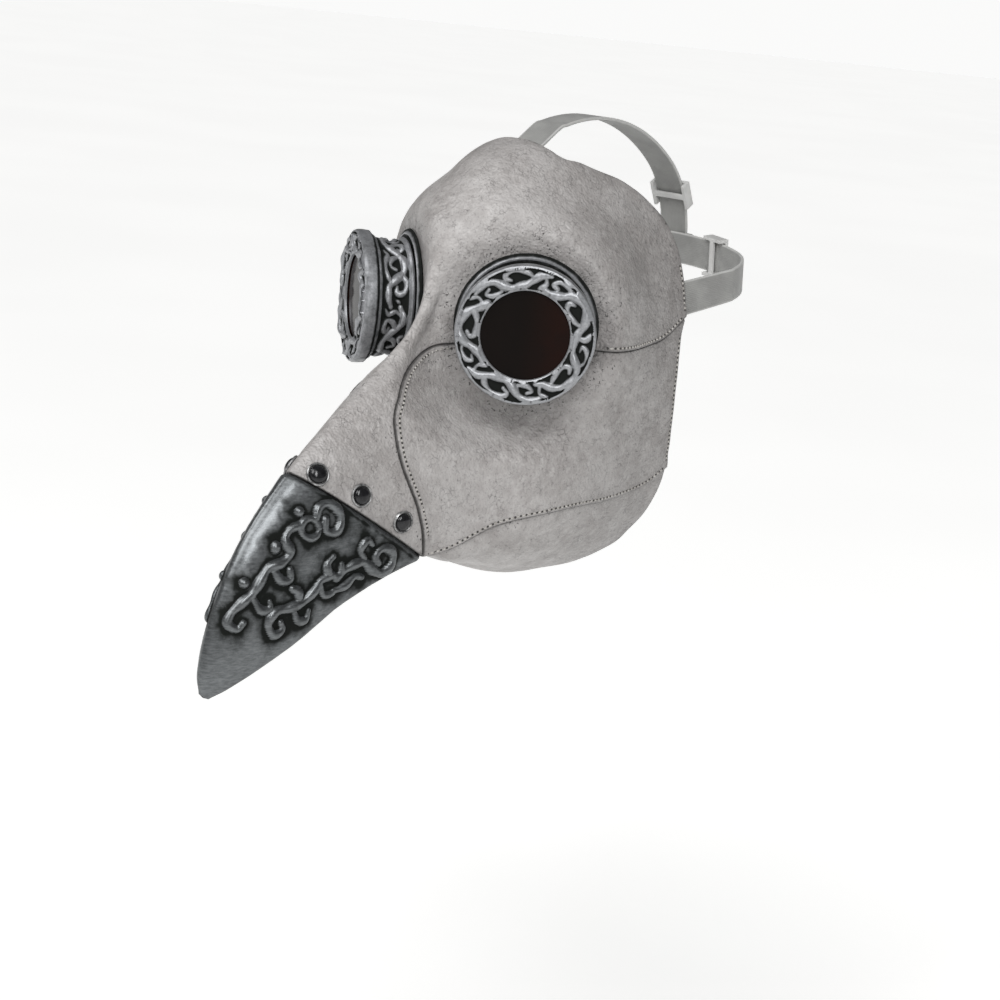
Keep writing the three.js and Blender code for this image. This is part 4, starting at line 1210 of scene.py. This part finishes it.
def band_section(width, thick):
    """The outline of a flat band with rounded corners, anticlockwise."""
    w, h = width / 2, thick / 2
    corner = min(BAND_CORNER, h * 0.95)
    section = []
    for side, start in ((1, 0), (-1, 180)):
        x, y = side * (w - corner), side * (h - corner)
        flat = [(side * share * w, side * h) for share in (0.6, 0.2, -0.2, -0.6)]
        section += [*corner_arc((x, y), corner, start), *flat, *corner_arc((-x, y), corner, start + 90)]
    return np.array(section)


def corner_arc(centre, radius, start):
    angles = [math.radians(start + a) for a in (0, 30, 60, 90)]
    return [(centre[0] + radius * math.cos(a), centre[1] + radius * math.sin(a)) for a in angles]


def band(places, width, thick):
    """A flat band through places of (centre, across, out), with marks along and across it."""
    rows = curve(np.array([np.concatenate(place) for place in places]), BAND_STEP)
    centre, across, out = rows[:, :3], rows[:, 3:6], unit(rows[:, 6:9])
    across = unit(across - (across * out).sum(1, keepdims=True) * out)
    section = band_section(width, thick)
    points = centre[:, None] + across[:, None] * section[None, :, :1] + out[:, None] * section[None, :, 1:]
    count, ring = points.shape[:2]
    marks = {"run": np.repeat(run_length(centre), ring), "cross": np.tile(section[:, 0], count)}
    return points.reshape(-1, 3), tube_faces(count, ring), marks


def outward_faces(points, faces):
    """Faces turned so that the solid's volume is positive."""
    volume = sum(np.dot(points[f[0]], np.cross(points[f[i]], points[f[i + 1]]))
                 for f in faces for i in range(1, len(f) - 1))
    return faces if volume > 0 else [f[::-1] for f in faces]


def strap_piece(name, places, node):
    points, faces, marks = band(places, STRAP_WIDTH, STRAP_THICK)
    return make_piece(name, points, outward_faces(points, faces), [ELASTIC_LOOK], body=None,
                      replaces=[node], marks=marks, sharp=50)


def patch_piece(name, places, material, body, node, half_along, half_across, facing):
    """A sewn patch over a strap's end; facing is the side that its stitches show on."""
    points, faces, marks = band(places, PATCH_WIDTH, PATCH_THICK)
    make_piece(name, points, outward_faces(points, faces), [material], body=body, replaces=[node],
               marks=marks, sharp=50)
    centre, across, out = places[len(places) // 2]
    middle = centre + facing * out * PATCH_THICK / 2
    patch_stitches(name.replace("patch", "patch_stitches"), middle, across, facing * out, half_along,
                   half_across, body)


def temple_place(y, side, depth):
    """A place of the back strap's end under the leather's edge."""
    (point,), (out,) = lay_on(BASE_FACE, [(y, STRAP_Z)], 1)
    mirror = np.array([side, 1, 1])
    across = np.array([0, 0, 1.0]) - out[2] * out
    return (point - out * depth) * mirror, across * mirror, out * mirror


def back_strap_half(side):
    """Places from the temple round to the middle of the back."""
    turn = math.asin((STRAP_HALF - SIDE_ARC_R) / (REAR_ARC_R - SIDE_ARC_R))
    centre = (STRAP_HALF - SIDE_ARC_R, REAR_CENTRE_Y + (REAR_ARC_R - SIDE_ARC_R) * math.cos(turn))
    arcs = [(centre, SIDE_ARC_R, math.pi / 2, turn, 12), ((0, REAR_CENTRE_Y), REAR_ARC_R, turn, 0, 16)]
    places = []
    for (cx, cy), radius, start, end, count in arcs:
        for a in np.linspace(start, end, count)[:None if end == 0 else -1]:
            out = np.array([side * math.sin(a), math.cos(a), math.cos(a) * math.tan(TILT)])
            places.append((on_strap_plane(side * (cx + radius * math.sin(a)), cy + radius * math.cos(a)),
                           STRAP_UP, out))
    return places


def top_place(t, depth):
    """A place on the middle line under the crown."""
    before, here, after = surface(np.array([t - 0.01, t, t + 0.01]), np.zeros(3))
    out = unit(np.array([0, before[2] - after[2], after[1] - before[1]]))
    return here - out * depth, X_AXIS, out


def arc_place(centre, radius, angle):
    out = np.array([0, math.sin(angle), math.cos(angle)])
    return centre + radius * out, X_AXIS, out


def build_straps():
    left, right = ([temple_place(y, side, STRAP_DEPTH) for y in (24, 34, 44, 50)] + back_strap_half(side)
                   for _, side in SIDES)
    back = strap_piece("back_strap_elastic", [*left, *right[::-1][1:]], "back_strap")
    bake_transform(back)
    nape_start = math.atan2(NAPE[1] - TOP_CENTRE[1], NAPE[2] - TOP_CENTRE[2])
    crown_angles = np.linspace(math.radians(-17), nape_start, 20)[:-1]
    places = [top_place(t, STRAP_DEPTH + TOP_SLACK) for t in (9.45, 9.75, 10.1)]
    places += [arc_place(TOP_CENTRE, CROWN_ARC_R, a) for a in crown_angles]
    places += [arc_place(NAPE, NAPE_ARC_R, a) for a in np.linspace(nape_start, math.pi / 2 - TILT, 16)]
    places.append((JUNCTION - STRAP_UP * 8, X_AXIS, REAR_OUT))
    top = strap_piece("top_strap_elastic", places, "top_strap")
    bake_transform(top)


def patch_stitches(name, centre, across, out, half_along, half_across, body):
    """A sewn rectangle with a cross in it on a flat patch."""
    across, out = unit(across), unit(out)
    along = np.cross(across, out)
    corners = [(-1, -1), (1, -1), (1, 1), (-1, 1), (-1, -1), (1, 1), (1, -1), (-1, 1)]
    runs = []
    for (u0, v0), (u1, v1) in zip(corners[:-1], corners[1:]):
        a = centre + along * (u0 * half_along) + across * (v0 * half_across)
        b = centre + along * (u1 * half_along) + across * (v1 * half_across)
        count = max(2, int(round(np.linalg.norm(b - a) / PATCH_PITCH)) + 1)
        points = a + (b - a) * np.linspace(0, 1, count)[:, None]
        runs.append(stitch_run(points, np.repeat(out[None], count, 0), thread=0.32, hole=0.4))
    stitch_piece(name, runs, body)


def build_patches():
    for label, side in SIDES:
        places = [temple_place(y, side, PATCH_DEPTH) for y in (22, 25.7, 29.5, 33.3, 37)]
        patch_piece(f"temple_patch_{label}", places, TAPE_LOOK, "mask", f"strap_anchor_{label}", 5.2, 10, -1)
    places = [top_place(t, PATCH_DEPTH + TOP_SLACK) for t in (9.42, 9.51, 9.6, 9.7, 9.8)]
    patch_piece("forehead_patch", places, TAPE_LOOK, "mask", "strap_anchor_top", 4.6, 10, -1)
    centre = JUNCTION + REAR_OUT * (STRAP_THICK / 2 + GAP + 0.9)
    places = [(centre + STRAP_UP * h, X_AXIS, REAR_OUT) for h in (9, 4.5, 0, -4.5, -9)]
    patch_piece("junction_patch", places, PATCH_LOOK, "harness", "strap_junction_patch", 6.4, 10.4, 1)


def block(size, middle):
    corners = np.array([[x, y, z] for z in (-1, 1) for y in (-1, 1) for x in (-1, 1)]) * np.array(size) / 2
    faces = [[0, 2, 3, 1], [4, 5, 7, 6], [0, 1, 5, 4], [2, 6, 7, 3], [0, 4, 6, 2], [1, 3, 7, 5]]
    return corners + middle, faces


def moulded(name, blocks, place):
    """Blocks melted into one moulded slider: each is (size, centre) along across, out and along."""
    centre, across, out = place
    across, out = unit(across), unit(out)
    points, faces = joined(*(block(size, middle) for size, middle in blocks))
    mesh = bpy.data.meshes.new("blocks")
    mesh.from_pydata(points.tolist(), [], faces)
    source = bpy.data.objects.new("blocks", mesh)
    scene.collection.objects.link(source)
    melt = source.modifiers.new("melt", "REMESH")
    melt.mode, melt.voxel_size = "VOXEL", MELT_SIZE
    soften = source.modifiers.new("soften", "SMOOTH")
    soften.factor, soften.iterations = 0.5, 5
    bpy.context.view_layer.update()
    done = source.evaluated_get(bpy.context.evaluated_depsgraph_get()).to_mesh()
    points = np.array([v.co[:] for v in done.vertices])
    faces = [list(f.vertices) for f in done.polygons]
    bpy.data.objects.remove(source)
    points = points @ np.stack([across, out, np.cross(across, out)]) + centre
    make_piece(f"{name}_buckle", points, outward_faces(points, faces), [PLASTIC_LOOK],
               body=name, replaces=[name], sharp=60)


def build_sliders():
    """Three-bar sliders: two side rails, two bars over the strap and one under it."""
    bar, room, length = 2.2, STRAP_THICK / 2 + 0.5, 17
    wide = STRAP_WIDTH + 2 * (0.6 + bar)
    blocks = [((bar, 2 * (room + bar), length), (side * (wide - bar) / 2, 0, 0)) for side in (1, -1)]
    blocks += [((wide, bar, 3.4), (0, room + bar / 2, side * 6.8)) for side in (1, -1)]
    blocks.append(((wide, bar, 3.4), (0, -room - bar / 2, 0)))
    a = BACK_SLIDER_ANGLE
    out = np.array([math.sin(a), math.cos(a) * math.cos(TILT), math.cos(a) * math.sin(TILT)])
    spot = on_strap_plane(REAR_ARC_R * math.sin(a), REAR_CENTRE_Y + REAR_ARC_R * math.cos(a))
    moulded("back_slider", blocks, (spot, STRAP_UP, out))
    moulded("top_slider", blocks, arc_place(NAPE, NAPE_ARC_R, TOP_SLIDER_ANGLE))


build_straps()
build_patches()
build_sliders()

# ---------------------------------------------------------------- floor, light and camera

FLOOR_Z, FLOOR_R = -0.60, 60         # metres, like everything in this section
CAMERA_TARGET = Vector((0.043, -0.066, -0.099))
CAMERA_AZIMUTH, CAMERA_ELEVATION, CAMERA_ROLL = (math.radians(a) for a in (36.7, 15.5, 5.7))
CAMERA_DISTANCE = 1.0
CAMERA_LENS = 64.04


def direction(azimuth, elevation):
    """From the part towards a viewer or a light."""
    return Vector((math.sin(azimuth) * math.cos(elevation), -math.cos(azimuth) * math.cos(elevation),
                   math.sin(elevation)))


def add_camera():
    back = direction(CAMERA_AZIMUTH, CAMERA_ELEVATION)
    right = Vector((math.cos(CAMERA_AZIMUTH), math.sin(CAMERA_AZIMUTH), 0))
    up = back.cross(right)
    cos, sin = math.cos(CAMERA_ROLL), math.sin(CAMERA_ROLL)
    camera = bpy.data.objects.new("camera", bpy.data.cameras.new("camera"))
    camera.data.lens = CAMERA_LENS
    camera.data.sensor_width = 36
    camera.data.clip_start = 0.01
    scene.collection.objects.link(camera)
    rows = (right * cos + up * sin, up * cos - right * sin, back)
    camera.matrix_world = Matrix(rows).transposed().to_4x4()
    camera.location = CAMERA_TARGET + back * CAMERA_DISTANCE
    scene.camera = camera


def add_light(name, kind, azimuth, elevation, energy, size, distance=1.6, tall=1.0):
    lamp = bpy.data.lights.new(name, kind)
    lamp.energy = energy
    if kind == "SUN":
        lamp.angle = size
    else:
        lamp.shape, lamp.size, lamp.size_y = "ELLIPSE", size, size * tall
    holder = bpy.data.objects.new(name, lamp)
    toward = direction(math.radians(azimuth), math.radians(elevation))
    holder.location = CAMERA_TARGET + toward * distance
    holder.rotation_euler = toward.to_track_quat("Z", "Y").to_euler()
    scene.collection.objects.link(holder)


def add_floor():
    """A pale round floor that brightens away from under the part, as a studio sweep does."""
    look = Look("floor")
    tone = look.mix(look.span(look.noise(900, 2, 0.5), 0.3, 0.7), (0.90, 0.90, 0.89), (0.94, 0.94, 0.93))
    away = look.add("ShaderNodeVectorMath", {0: look.place}, operation="LENGTH").outputs["Value"]
    glow = look.span(away, 0.2, 1.0, 0.05, 0.48)
    material = look.finish(Base_Color=tone, Roughness=0.9, Specular_IOR_Level=0.1,
                           Emission_Color=(1.0, 1.0, 0.995), Emission_Strength=glow)
    mesh = bpy.data.meshes.new("floor")
    angles = [2 * math.pi * i / 96 for i in range(96)]
    edge = [(FLOOR_R * math.cos(a), FLOOR_R * math.sin(a), FLOOR_Z) for a in angles]
    mesh.from_pydata(edge, [], [list(range(96))])
    mesh.materials.append(material)
    floor = bpy.data.objects.new("floor", mesh)
    scene.collection.objects.link(floor)


def add_world():
    """Dim light from all round, and a pale background where the camera looks past the floor."""
    world = bpy.data.worlds.new("studio")
    world.use_nodes = True
    tree = world.node_tree
    light, sight = tree.nodes["Background"], tree.nodes.new("ShaderNodeBackground")
    light.inputs["Color"].default_value = (1, 1, 1, 1)
    light.inputs["Strength"].default_value = 0.11
    sight.inputs["Color"].default_value = (0.96, 0.96, 0.955, 1)
    path, join = tree.nodes.new("ShaderNodeLightPath"), tree.nodes.new("ShaderNodeMixShader")
    tree.links.new(path.outputs["Is Camera Ray"], join.inputs[0])
    tree.links.new(light.outputs[0], join.inputs[1])
    tree.links.new(sight.outputs[0], join.inputs[2])
    tree.links.new(join.outputs[0], tree.nodes["World Output"].inputs[0])
    scene.world = world


add_camera()
add_floor()
add_world()
add_light("key_sun", "SUN", 6, 46, 1.75, math.radians(36))
add_light("strip_softbox", "AREA", 50, 35, 8, 0.26, 1.3, 3.6)
add_light("side_softbox", "AREA", -50, 40, 3.5, 0.5, 1.2)
